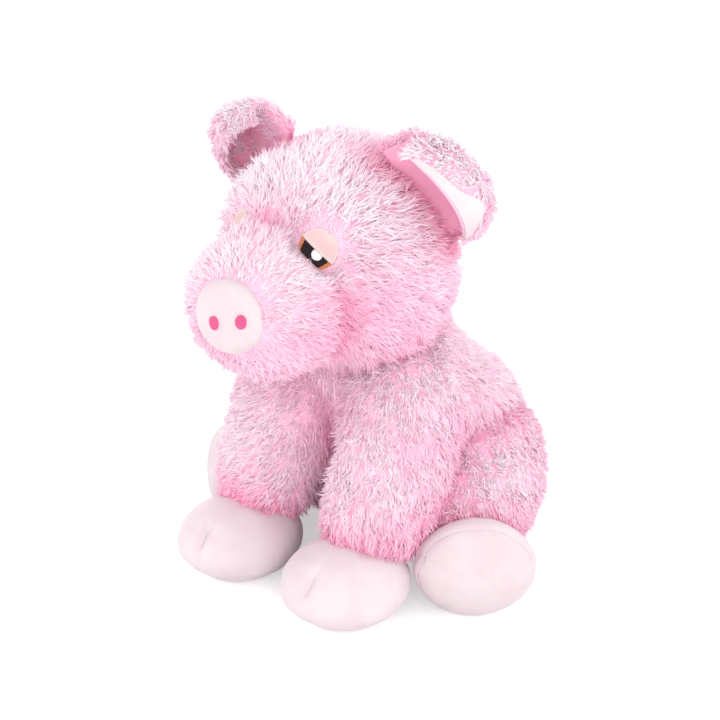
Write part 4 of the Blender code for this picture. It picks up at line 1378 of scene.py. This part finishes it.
def make_eye(pig, word, side):
    """Backed patches and the threads on them: iris, pupil, highlight and the half-shut lid."""
    rng = random.Random(EYE_SEED + side)
    pitch = pig.thread_width * THREAD_PITCH_SHARE
    iris = thread_material("iris_thread", shade_of(178, 100, 72), shade_of(124, 58, 48), reads="tone")
    dark = thread_material("pupil_thread", shade_of(34, 20, 30), shade_of(52, 34, 46))
    lid = thread_material("lid_thread", shade_of(228, 202, 212), shade_of(200, 170, 184))
    cream = thread_material("lid_edge_thread", shade_of(244, 226, 220), shade_of(232, 212, 206))
    white = thread_material("white_thread", shade_of(252, 252, 252), shade_of(236, 238, 242))

    def iris_tone(x, z):
        return min(abs(abs(x) / radius - IRIS_MIDDLE_SHARE) / (1 - IRIS_MIDDLE_SHARE), 1)

    low = -PILE_SINK - PATCH_ROOT
    radius = EYE_RADIUS * EYE_PATCH_SHARE
    spark = [(x + SPARK_SIDE, z - SPARK_DROP) for x, z in ring(HIGHLIGHT_RADIUS, PATCH_SIDES)]
    pupil = eye_lower(PUPIL_WIDTH * EYE_PATCH_SHARE, EYE_OPENING, PUPIL_STRETCH)
    for part, outline, angle, ragged, lift, dome, arch, finish, tone in (
            ("iris", eye_lower(radius, EYE_OPENING), math.pi / 2, RAGGED_EDGE, IRIS_LIFT, 0.0, 0.0,
             iris, iris_tone),
            ("pupil", pupil, math.pi / 2, RAGGED_EDGE, PUPIL_LIFT, 0.0, 0.0, dark, None),
            ("highlight", spark, 0.0, SPARK_RAGGED_EDGE, SPARK_LIFT, SPARK_DOME, THREAD_ARCH,
             white, None)):
        patch = pad(part + "_pad_" + word, outline, eye_point, side, low, lift, dome, finish,
                    finish.name)
        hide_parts(part + "_" + word)
        lay_threads(pig, part + "_threads_" + word, fill_lines(outline, angle, pitch, ragged, 0, rng),
                    eye_point, side, lift + pig.thread_width / 2, finish, tone=tone,
                    arch=arch)
    outline = arc(radius, 0, math.pi, PATCH_SIDES)
    patch = pad("lid_pad_" + word, outline, eye_point, side, low, LID_LIFT, LID_DOME, lid, "lid_thread")
    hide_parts("eyelid_" + word)

    def lid_place(x, z, lift, hand):
        share = min(math.hypot(x, z) / radius, 1)
        return eye_point(x, z, lift + LID_DOME * (1 - share ** 4), hand)
    inner = arc(radius - LID_EDGE_WIDTH, 0, math.pi, PATCH_SIDES)
    lay_threads(pig, "lid_threads_" + word, fill_lines(inner, 0.0, pitch, 0.0, LID_STITCH, rng),
                lid_place, side, LID_LIFT + pig.thread_width / 2, lid)
    edge = radial_lines(radius - LID_EDGE_WIDTH / 2, LID_EDGE_WIDTH, 0, math.pi, pitch)
    count = int(2 * radius / pitch)
    for k in range(count + 1):
        x = mix(-radius, radius, k / count)
        edge.append([(x, -LID_LINE_WIDTH / 2), (x, LID_LINE_WIDTH / 2)])
    lay_threads(pig, "lid_edge_threads_" + word, edge, lid_place, side,
                LID_LIFT + pig.thread_width / 2, cream, arch=THREAD_ARCH)


# Ears

def whole_ear(across):
    return 0, 1


def turned_edge(across):
    """Where the lining's facing runs on the flap: a hem that widens to a lobe near its outer end."""
    lobe = bell(across - EAR_FACING_LOBE, EAR_FACING_SPREAD)
    return 1 - mix(*EAR_FACING_WIDTH, lobe), EAR_FACING_END


def ear_shell(side, low, high, lump_height=0.0, half=1.0, window=whole_ear):
    """A closed sheet that follows the folded ear between two heights above its middle surface."""
    centre, turn = ear_frame()
    shape = bmesh.new()
    places = [shape.verts.layers.float.new(name) for name in ("across", "along", "outer")]
    sheets = []
    for outer, lift in enumerate((low, high)):
        sheet = []
        for row in range(EAR_ROWS + 1):
            line = []
            for column in range(EAR_COLUMNS + 1):
                across = (2 * column / EAR_COLUMNS - 1) * half
                along = mix(*window(across), row / EAR_ROWS)
                place = ear_place(across, along, lift, EAR_FOLDS[side])
                point = mirrored(centre + turn @ place, side)
                rise = lumps(point, EAR_CREASE_SIZE, lump_height) if lump_height else 0
                vertex = shape.verts.new(point + Vector((0, 0, rise)))
                for layer, value in zip(places, (across, along, outer)):
                    vertex[layer] = value
                line.append(vertex)
            sheet.append(line)
        sheets.append(sheet)
    inner, outer = sheets
    for sheet in sheets:
        for row in range(EAR_ROWS):
            for column in range(EAR_COLUMNS):
                shape.faces.new((sheet[row][column], sheet[row][column + 1],
                                 sheet[row + 1][column + 1], sheet[row + 1][column]))
    edges = [([s[0] for s in sheet], [s[-1] for s in sheet], sheet[0], sheet[-1]) for sheet in sheets]
    for near, far in zip(*edges):
        for k in range(len(near) - 1):
            shape.faces.new((near[k], near[k + 1], far[k + 1], far[k]))
    bmesh.ops.recalc_face_normals(shape, faces=shape.faces)
    face_outwards(shape)
    shape.normal_update()
    return shape, places


def mark_ear(shape, places, side):
    """The ear's pile runs to its tip and fringes its rim, and none grows on the lined side."""
    centre, turn = ear_frame()
    mark = pile_marks(shape)
    head = form_tree("head", 1)
    for vertex in shape.verts:
        across, along, outer = (vertex[layer] for layer in places)
        fringe = smooth((abs(across) - EAR_FRINGE_START[side]) / EAR_FRINGE_SPAN)
        fringe *= 1 - smooth((along - EAR_FRINGE_END) / EAR_FRINGE_SPAN)
        step = EAR_COMB_STEP if along < EAR_COMB_TURN else -EAR_COMB_STEP
        fold = EAR_FOLDS[side]
        ahead = ear_place(across, along + step, 0, fold) - ear_place(across, along, 0, fold)
        spread = Vector((across ** 3, 0, 0)) * EAR_FRINGE_SPREAD
        lie = turn @ (ahead.normalized() * math.copysign(1, step) + spread)
        depth = depth_in(vertex.co, head)
        bare = 1
        if side > 0 and abs(across) < EAR_LINING_HALF:
            bare = 1 - smooth((along - turned_edge(across)[0]) / EAR_FACING_FADE + 1)
        # Painted shade: pinker in the crease against the head, less on the outer sheet, and by how the
        # ear faces
        mark(vertex, mirrored(lie.normalized(), side), mix(fringe, bare, outer) * cover_at(depth),
             math.exp(min(depth, 0) / CREASE_SHADE_REACH) * (1 - EAR_OUTER_CREASE_SHADE_SHARE * outer),
             EAR_TRIM_SHARE, painted_shade_at(vertex.co, vertex.normal) * EAR_PAINTED_SHADE_SHARE)


def make_ear(pig, word, side):
    body = "ear_" + word
    shape, places = ear_shell(side, 0.0, EAR_CLOTH_LIFT)
    mark_ear(shape, places, side)
    mesh = mesh_of("ear_cloth_" + word, shape)
    cloth = add("ear_cloth_" + word, mesh, backing_material(pig))
    grow_pile(pig, "ear_" + word, mesh, body, PILE_SEEDS["ear"] + side, WHOLE,
              density_share=EAR_DENSITY_SHARE)
    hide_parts("ear_back_" + word)
    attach(cloth, body)
    shape, _ = ear_shell(side, -EAR_LINING_THICKNESS, -SEAM_GAP, pig.lining_crease_height,
                         EAR_LINING_HALF)
    name = "ear_lining_velour_" + word
    lining = add(name, mesh_of(name, shape), lining_material(pig))
    if side > 0:
        shape, _ = ear_shell(side, EAR_CLOTH_LIFT + SEAM_GAP, EAR_CLOTH_LIFT + EAR_LINING_THICKNESS, 0.0,
                             EAR_LINING_HALF, turned_edge)
        facing = add("ear_facing_velour_" + word, mesh_of("ear_facing_velour_" + word, shape),
                     velour_material(pig, "facing_velour", pig.lining_colour))
        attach(facing, body)
    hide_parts("ear_lining_" + word)
    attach(lining, body)


# Tail

def tail_line():
    """Points along the corkscrew with the tail's radius at each."""
    line = []
    for step in range(TAIL_STEPS + 1):
        share = step / TAIL_STEPS
        angle = TAIL_CURL_TURNS * 2 * math.pi * share
        swing = TAIL_CURL_RADIUS * smooth(share * 2)
        point = TAIL_ROOT + Vector((-swing * math.sin(angle), TAIL_LENGTH * share,
                                    swing * (1 - math.cos(angle))))
        line.append((point, (TAIL_RADIUS - TAIL_PILE_ROOM) * mix(1, TAIL_TIP_SHARE, share)))
    first, radius = line[0]
    return [(first - Vector((0, TAIL_ROOT_DEPTH, 0)), radius * TAIL_ROOT_SHARE)] + line


def make_tail(pig):
    line = tail_line()
    shape = bmesh.new()
    mark = pile_marks(shape)
    rings, tangents = [], []
    side_way = Vector((1, 0, 0))
    for k, (point, radius) in enumerate(line):
        ahead = line[min(k + 1, len(line) - 1)][0] - line[max(k - 1, 0)][0]
        ahead.normalize()
        side_way = (side_way - ahead * side_way.dot(ahead)).normalized()
        up = ahead.cross(side_way)
        rings.append([shape.verts.new(point + (side_way * math.cos(a) + up * math.sin(a)) * radius)
                      for a in (2 * math.pi * j / TAIL_SIDES for j in range(TAIL_SIDES))])
        tangents.append(ahead)
    for one, two in zip(rings, rings[1:]):
        for j in range(TAIL_SIDES):
            n = (j + 1) % TAIL_SIDES
            shape.faces.new((one[j], one[n], two[n], two[j]))
    shape.faces.new(rings[0][::-1])
    shape.faces.new(rings[-1])
    bmesh.ops.recalc_face_normals(shape, faces=shape.faces)
    shape.normal_update()
    torso = form_tree("torso", 1)
    for ring_verts, ahead in zip(rings, tangents):
        for vertex in ring_verts:
            depth = depth_in(vertex.co, torso)
            # Painted shade in the crease against the body, and an even level of shade by facing
            mark(vertex, ahead, cover_at(depth),
                 math.exp(min(depth, 0) / CREASE_SHADE_REACH) * TAIL_CREASE_SHADE_SHARE, TAIL_TRIM_SHARE,
                 PAINTED_SHADE_LEVEL)
    mesh = mesh_of("tail_cloth", shape)
    cloth = add("tail_cloth", mesh, backing_material(pig))
    grow_pile(pig, "tail", mesh, "tail", PILE_SEEDS["tail"], WHOLE,
              density_share=TAIL_DENSITY_SHARE)
    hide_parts("tail")
    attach(cloth, "tail")


# Filling

def make_filling(pig, name, place, side, body, node_name, sink=FILL_SINK):
    shape = form_bmesh(place, side, ROUGH, -sink, pig.filling_lump_height, pig.lump_size / 2)
    made = add(name, mesh_of(name, shape), filling_material())
    if node_name:
        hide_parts(node_name)
    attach(made, body)


def neck_filling_place(d):
    """A wad at the neck's pivot with a plug that runs up into the head."""
    turn = Matrix.Rotation(NECK_LEAN, 3, "X")
    return NECK + turn @ (Vector((0, 0, NECK_PLUG_RISE)) + d * Vector(NECK_PLUG_HALF))


# Stage

def seen_share(tree):
    """1 for what the camera sees straight, by a gloss or through a clear thing, and 0 for light."""
    path = node(tree, "ShaderNodeLightPath").outputs
    return calc(tree, "MAXIMUM", path["Is Camera Ray"], calc(
        tree, "MAXIMUM", path["Is Glossy Ray"], path["Is Transmission Ray"]))


def way_back(azimuth, elevation):
    """The way from the object to what looks at it from these angles, in degrees."""
    a, e = math.radians(azimuth), math.radians(elevation)
    return Vector((math.sin(a) * math.cos(e), -math.cos(a) * math.cos(e), math.sin(e)))


def stage_material():
    """A pale floor that the camera sees as white, with the object's shadow kept."""
    made, tree, shader = blank_material("pale_floor", *FLOOR_FINISH)
    grain = noise_at(tree, FLOOR_GRAIN, FINE_DETAIL)
    feed(tree, shader.inputs["Base Color"],
         blend_colours(tree, grain, *FLOOR_SHADES))
    seen = seen_share(tree)
    shader.inputs["Emission Color"].default_value = (1, 1, 1, 1)
    feed(tree, shader.inputs["Emission Strength"], calc(tree, "MULTIPLY", seen, FLOOR_GLOW))
    return made


def stage_world(pig):
    world = bpy.data.worlds.new("studio")
    bpy.context.scene.world = world
    world.use_nodes = True
    tree = world.node_tree
    tree.nodes.clear()
    seen = seen_share(tree)
    strength = calc(tree, "MULTIPLY_ADD", seen, 1 - pig.ambient, pig.ambient)
    glow = node(tree, "ShaderNodeBackground", {"Color": (1, 1, 1, 1), "Strength": strength})
    node(tree, "ShaderNodeOutputWorld", {"Surface": glow.outputs[0]})


def lamp(name, azimuth, elevation, distance, size, watts):
    """A soft square lamp that looks at the middle of the object."""
    back = way_back(azimuth, elevation)
    light = bpy.data.lights.new(name, "AREA")
    light.size = size
    light.energy = watts
    made = bpy.data.objects.new(name, light)
    bpy.context.scene.collection.objects.link(made)
    made.location = VIEW_TARGET + back * distance
    made.rotation_euler = back.to_track_quat("Z", "Y").to_euler()
    made.visible_camera = False


def make_stage(pig):
    shape = bmesh.new()
    bmesh.ops.create_grid(shape, x_segments=FLOOR_SQUARES, y_segments=FLOOR_SQUARES,
                          size=FLOOR_HALF_SIZE)
    floor = add("floor", mesh_of("floor", shape), stage_material())
    stage_world(pig)
    for name, azimuth, watts in (
            ("key_lamp", 45, pig.key_watts), ("left_lamp", 130, pig.side_watts),
            ("back_lamp", 225, pig.back_watts), ("right_lamp", 315, pig.side_watts)):
        lamp(name, azimuth, LAMP_RISE, LAMP_DISTANCE, LAMP_SIZE, watts)
    back = way_back(VIEW_AZIMUTH, VIEW_ELEVATION)
    lens = bpy.data.cameras.new("camera")
    lens.lens = LENS_LENGTH
    lens.sensor_width = SENSOR_WIDTH
    lens.shift_x = -(VIEW_TARGET_PIXEL[0] - FRAME_PIXELS / 2) / FRAME_PIXELS
    lens.shift_y = (VIEW_TARGET_PIXEL[1] - FRAME_PIXELS / 2) / FRAME_PIXELS
    lens.clip_start = NEAREST_SEEN
    camera = bpy.data.objects.new("camera", lens)
    bpy.context.scene.collection.objects.link(camera)
    camera.location = VIEW_TARGET + back * VIEW_DISTANCE
    camera.rotation_euler = back.to_track_quat("Z", "Y").to_euler()
    bpy.context.scene.camera = camera
    bpy.context.scene.view_settings.view_transform = "Standard"


# Sizes and colours that a user may change

class PlushPigSettings(bpy.types.PropertyGroup):
    """Sizes and colours of the pig's cloth, thread and stage"""

    tuft_length: FloatProperty(name="Tuft length", description="Length of one tuft of the pile",
                               default=0.0056, min=0.002, max=0.02, unit="LENGTH")
    tuft_width: FloatProperty(name="Tuft width", description="Width of one tuft at its root",
                              default=0.00088, min=0.0001, max=0.003, unit="LENGTH")
    tufts_per_square_mm: FloatProperty(name="Tufts per square millimetre",
                                       description="How thickly the pile stands",
                                       default=1.22, min=0.05, max=4)
    tuft_bend: FloatProperty(name="Tuft bend",
                             description="How far a tuft's tip falls, as a share of its length",
                             default=0.5, min=0, max=1)
    pile_lean: FloatProperty(name="Lean", description="How strongly the pile lies along its combing",
                             default=0.6, min=0, max=2)
    pile_lift: FloatProperty(name="Lift", description="How strongly the pile stands off the cloth",
                             default=0.48, min=0, max=2)
    clump_size: FloatProperty(name="Clump size", description="Distance between clumps of pile",
                              default=0.0052, min=0.001, max=0.03, unit="LENGTH")
    clump_pull: FloatProperty(name="Clump pull", description="How far tips draw together in a clump",
                              default=0.75, min=0, max=1.5)
    swirl: FloatProperty(name="Swirl", description="How much the combing wanders",
                         default=1.9, min=0, max=4)
    scatter: FloatProperty(name="Scatter", description="How much single tufts stray",
                           default=0.26, min=0, max=1)
    lump_height: FloatProperty(name="Lump height", description="Unevenness of the stuffed cloth",
                               default=0.0009, min=0, max=0.005, unit="LENGTH")
    lump_size: FloatProperty(name="Lump size", description="Distance between lumps of filling",
                             default=0.022, min=0.005, max=0.1, unit="LENGTH")
    foot_lump_height: FloatProperty(name="Foot lump height", description="Unevenness of the feet",
                                    default=0.0004, min=0, max=0.005, unit="LENGTH")
    foot_lump_size: FloatProperty(name="Foot lump size", description="Distance between lumps in a foot",
                                  default=0.014, min=0.005, max=0.1, unit="LENGTH")
    filling_lump_height: FloatProperty(name="Filling lump height",
                                       description="Unevenness of the loose filling",
                                       default=0.0012, min=0, max=0.005, unit="LENGTH")
    lining_crease_height: FloatProperty(name="Lining crease height",
                                        description="Softness of the ear lining's folds",
                                        default=0.0004, min=0, max=0.002, unit="LENGTH")
    thread_width: FloatProperty(name="Thread width", description="Width of an embroidery thread",
                                default=0.00042, min=0.0001, max=0.002, unit="LENGTH")
    tip_colour: FloatVectorProperty(name="Tip", description="Colour of the pile's tips",
                                    default=shade_of(255, 246, 252), subtype="COLOR", min=0, max=1)
    # Pinker tips in random patches, and the pink of painted shade on upright and hanging pile
    pink_tip_and_shade_colour: FloatVectorProperty(name="Blush", description="Colour of the pile's pinker tips",
                                      default=shade_of(255, 213, 233), subtype="COLOR", min=0, max=1)
    root_colour: FloatVectorProperty(name="Root", description="Colour of the pile's roots",
                                     default=shade_of(255, 208, 229), subtype="COLOR", min=0, max=1)
    # Painted shade: the deep pink that creases are darkened with
    crease_shade_colour: FloatVectorProperty(name="Crease", description="Colour of the roots in a crease",
                                       default=shade_of(244, 124, 176), subtype="COLOR", min=0, max=1)
    velour_colour: FloatVectorProperty(name="Velour", description="Colour of the feet and the nose",
                                       default=shade_of(233, 221, 224), subtype="COLOR", min=0, max=1)
    sole_colour: FloatVectorProperty(name="Sole", description="Colour of the soles",
                                     default=shade_of(230, 217, 220), subtype="COLOR", min=0, max=1)
    nose_colour: FloatVectorProperty(name="Nose", description="Colour of the nose disc",
                                     default=shade_of(230, 217, 220), subtype="COLOR", min=0, max=1)
    lining_colour: FloatVectorProperty(name="Lining", description="Colour of the ear lining",
                                       default=shade_of(246, 224, 226), subtype="COLOR", min=0, max=1)
    # Painted shade: the deep pink of the lining in the ear's fold
    fold_shade_colour: FloatVectorProperty(name="Lining fold",
                                     description="Colour of the lining deep in the fold",
                                     default=shade_of(255, 180, 210), subtype="COLOR", min=0, max=1)
    brushed_share: FloatVectorProperty(name="Brushed share",
                                       description="How much darker the velour is where it is brushed",
                                       default=(0.95, 0.86, 0.89), min=0, max=1)
    ambient: FloatProperty(name="Ambient light", description="Light that comes from all round",
                           default=0.72, min=0, max=2)
    key_watts: FloatProperty(name="Key lamp", description="Power of the lamp in front",
                             default=7.4, min=0, max=200, unit="POWER")
    side_watts: FloatProperty(name="Side lamps", description="Power of the lamp on each side",
                              default=4.8, min=0, max=200, unit="POWER")
    back_watts: FloatProperty(name="Back lamp", description="Power of the lamp behind",
                              default=5.4, min=0, max=200, unit="POWER")


# One operator for each group of pieces

class PLUSHPIG_OT_body(bpy.types.Operator):
    """Dress the torso in pile"""
    bl_idname = "plush_pig.body"
    bl_label = "Body"

    def execute(self, context):
        panels = [(f"{end}_{word}", lambda p, turn=turn, side=side:
                   (p.y >= BELLY_BACK) == turn and (p.x >= 0) == (side > 0))
                  for end, turn in (("front", False), ("back", True)) for word, side in SIDES]
        dress(context.scene.plush_pig, "body", "torso", 1, "body", "body_skin", torso_comb, FINE,
              panels, PILE_SEEDS["body"], torso_trim, soft_above=SHOULDER_SOFT_HEIGHT)
        return {"FINISHED"}


class PLUSHPIG_OT_head(bpy.types.Operator):
    """Dress the head and the muzzle in pile"""
    bl_idname = "plush_pig.head"
    bl_label = "Head"

    def execute(self, context):
        pig = context.scene.plush_pig
        panels = (("left", lambda p: p.x >= HEAD_PANEL_HALF),
                  ("right", lambda p: p.x < -HEAD_PANEL_HALF),
                  ("middle", lambda p: -HEAD_PANEL_HALF <= p.x < HEAD_PANEL_HALF))
        dress(pig, "head", "head", 1, "head", "head_skin", face_comb(MUZZLE_MIDDLE, *HEAD_COMB),
              FINE, panels, PILE_SEEDS["head"], head_trim, swell=brow_swell)
        dress(pig, "muzzle", "muzzle", 1, "head", "muzzle_skin",
              face_comb(nose_frame()[0], *MUZZLE_COMB), MIDDLING, WHOLE, PILE_SEEDS["muzzle"],
              muzzle_trim, density_share=MUZZLE_DENSITY_SHARE)
        return {"FINISHED"}


class PLUSHPIG_OT_nose(bpy.types.Operator):
    """Set the velour nose disc with its stitched nostrils"""
    bl_idname = "plush_pig.nose"
    bl_label = "Nose"

    def execute(self, context):
        pig = context.scene.plush_pig
        rng = random.Random(NOSTRIL_SEED)
        shape = form_bmesh(functools.partial(nose_place, share=NOSE_SHOWN_SHARE), 1, MIDDLING, 0,
                           pig.foot_lump_height / 2, pig.foot_lump_size)
        disc = add("nose_velour", mesh_of("nose_velour", shape),
                   velour_material(pig, "nose_velour", pig.nose_colour))
        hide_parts("snout_disc")
        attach(disc, "head")
        finish = thread_material("nostril_thread", shade_of(178, 82, 120), shade_of(150, 62, 100))
        for word, side in SIDES:
            middle = Vector((NOSTRIL_SIDE + side * NOSTRIL_SPREAD, 0, 0))
            middle = Matrix.Rotation(NOSE_ROLL, 3, "Y") @ middle
            outline = [(x + middle.x, z + middle.z) for x, z in
                       ring(NOSTRIL_HALF[0], PATCH_SIDES, squash=NOSTRIL_HALF[1] / NOSTRIL_HALF[0])]
            patch = pad("nostril_pad_" + word, outline, nose_point, 1, -NOSTRIL_ROOT,
                        SEAM_GAP, NOSTRIL_DOME, finish, "nostril_thread")
            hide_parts("nostril_" + word)
            lay_threads(pig, "nostril_threads_" + word,
                        fill_lines(outline, NOSTRIL_THREAD_ANGLE,
                                   pig.thread_width * NOSTRIL_PITCH_SHARE, RAGGED_EDGE, 0, rng),
                        nose_point, 1, NOSTRIL_THREAD_LIFT, finish)
        return {"FINISHED"}


class PLUSHPIG_OT_eyes(bpy.types.Operator):
    """Embroider both eyes"""
    bl_idname = "plush_pig.eyes"
    bl_label = "Eyes"

    def execute(self, context):
        for word, side in SIDES:
            make_eye(context.scene.plush_pig, word, side)
        return {"FINISHED"}


class PLUSHPIG_OT_ears(bpy.types.Operator):
    """Make both folded ears with their linings"""
    bl_idname = "plush_pig.ears"
    bl_label = "Ears"

    def execute(self, context):
        for word, side in SIDES:
            make_ear(context.scene.plush_pig, word, side)
        return {"FINISHED"}


class PLUSHPIG_OT_front_legs(bpy.types.Operator):
    """Dress the front legs and their velour feet"""
    bl_idname = "plush_pig.front_legs"
    bl_label = "Front legs"

    def execute(self, context):
        pig = context.scene.plush_pig
        for word, side in SIDES:
            body = "front_leg_" + word
            dress(pig, body, "front_leg", side, body, body,
                  limb_comb(SHOULDER, FRONT_FOOT_MIDDLE + Vector((0, 0, FRONT_FOOT_HEIGHT)), side),
                  MIDDLING, WHOLE, PILE_SEEDS["front_leg"] + side, floor_trim,
                  soft_above=SHOULDER_SOFT_HEIGHT)
            foot_pair(pig, word, side, "front", body, Vector((0, 0, FRONT_SOLE_HEIGHT)),
                      Vector((0, 0, 1)))
        return {"FINISHED"}


class PLUSHPIG_OT_hind_legs(bpy.types.Operator):
    """Dress the hind legs and their velour feet"""
    bl_idname = "plush_pig.hind_legs"
    bl_label = "Hind legs"

    def execute(self, context):
        pig = context.scene.plush_pig
        for word, side in SIDES:
            body = "hind_leg_" + word
            centre = mirrored(hind_foot_centre(), side)
            out = Matrix.Rotation(HIND_FOOT_TURN * side, 3, "Z") @ Vector((0, -1, 0))
            dress(pig, body, "hind_leg", side, body, body, limb_comb(HIP, hind_foot_centre(), side),
                  MIDDLING, WHOLE, PILE_SEEDS["hind_leg"] + side, floor_trim,
                  length_share=HIND_LENGTH_SHARE)
            foot_pair(pig, word, side, "hind", body,
                      centre + out * HIND_FOOT_HALF_THICKNESS * HIND_SOLE_SHARE, -out)
        return {"FINISHED"}


class PLUSHPIG_OT_tail(bpy.types.Operator):
    """Make the curled tail"""
    bl_idname = "plush_pig.tail"
    bl_label = "Tail"

    def execute(self, context):
        make_tail(context.scene.plush_pig)
        return {"FINISHED"}


class PLUSHPIG_OT_filling(bpy.types.Operator):
    """Stuff the skins with fibre"""
    bl_idname = "plush_pig.filling"
    bl_label = "Filling"

    def execute(self, context):
        pig = context.scene.plush_pig
        make_filling(pig, "body_filling", torso_place, 1, "body", "body_stuffing")
        make_filling(pig, "head_filling", head_place, 1, "head", "head_stuffing")
        make_filling(pig, "muzzle_filling", muzzle_place, 1, "head", None)
        make_filling(pig, "neck_filling", neck_filling_place, 1, "neck", "neck_stuffing", sink=0)
        for word, side in SIDES:
            for kind, leg, foot in (("front", front_leg_place, front_foot_place),
                                    ("hind", hind_leg_place, hind_foot_place)):
                body = kind + "_leg_" + word
                make_filling(pig, kind + "_leg_filling_" + word, leg, side, body,
                             kind + "_leg_stuffing_" + word)
                make_filling(pig, kind + "_foot_filling_" + word, foot, side, body, None,
                             sink=FOOT_FILL_SINK)
        return {"FINISHED"}


class PLUSHPIG_OT_stage(bpy.types.Operator):
    """Set the floor, the lamps and the camera"""
    bl_idname = "plush_pig.stage"
    bl_label = "Stage"

    def execute(self, context):
        make_stage(context.scene.plush_pig)
        return {"FINISHED"}


OPERATORS = (PLUSHPIG_OT_body, PLUSHPIG_OT_head, PLUSHPIG_OT_nose, PLUSHPIG_OT_eyes, PLUSHPIG_OT_ears,
             PLUSHPIG_OT_front_legs, PLUSHPIG_OT_hind_legs, PLUSHPIG_OT_tail, PLUSHPIG_OT_filling,
             PLUSHPIG_OT_stage)


class PLUSHPIG_PT_panel(bpy.types.Panel):
    """Lists the steps that dress the pig"""
    bl_label = "Plush Pig"
    bl_idname = "PLUSHPIG_PT_panel"
    bl_space_type = "VIEW_3D"
    bl_region_type = "UI"
    bl_category = "Plush Pig"

    def draw(self, context):
        column = self.layout.column()
        for operator in OPERATORS:
            column.operator(operator.bl_idname)
        for name in PlushPigSettings.__annotations__:
            column.prop(context.scene.plush_pig, name)


def register():
    for made in (PlushPigSettings, *OPERATORS, PLUSHPIG_PT_panel):
        bpy.utils.register_class(made)
    bpy.types.Scene.plush_pig = PointerProperty(type=PlushPigSettings)


def unregister():
    del bpy.types.Scene.plush_pig
    for made in reversed((PlushPigSettings, *OPERATORS, PLUSHPIG_PT_panel)):
        bpy.utils.unregister_class(made)


def main():
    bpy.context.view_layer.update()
    register()
    for operator in OPERATORS:
        group, name = operator.bl_idname.split(".")
        getattr(getattr(bpy.ops, group), name)()


if __name__ == "__main__":
    main()
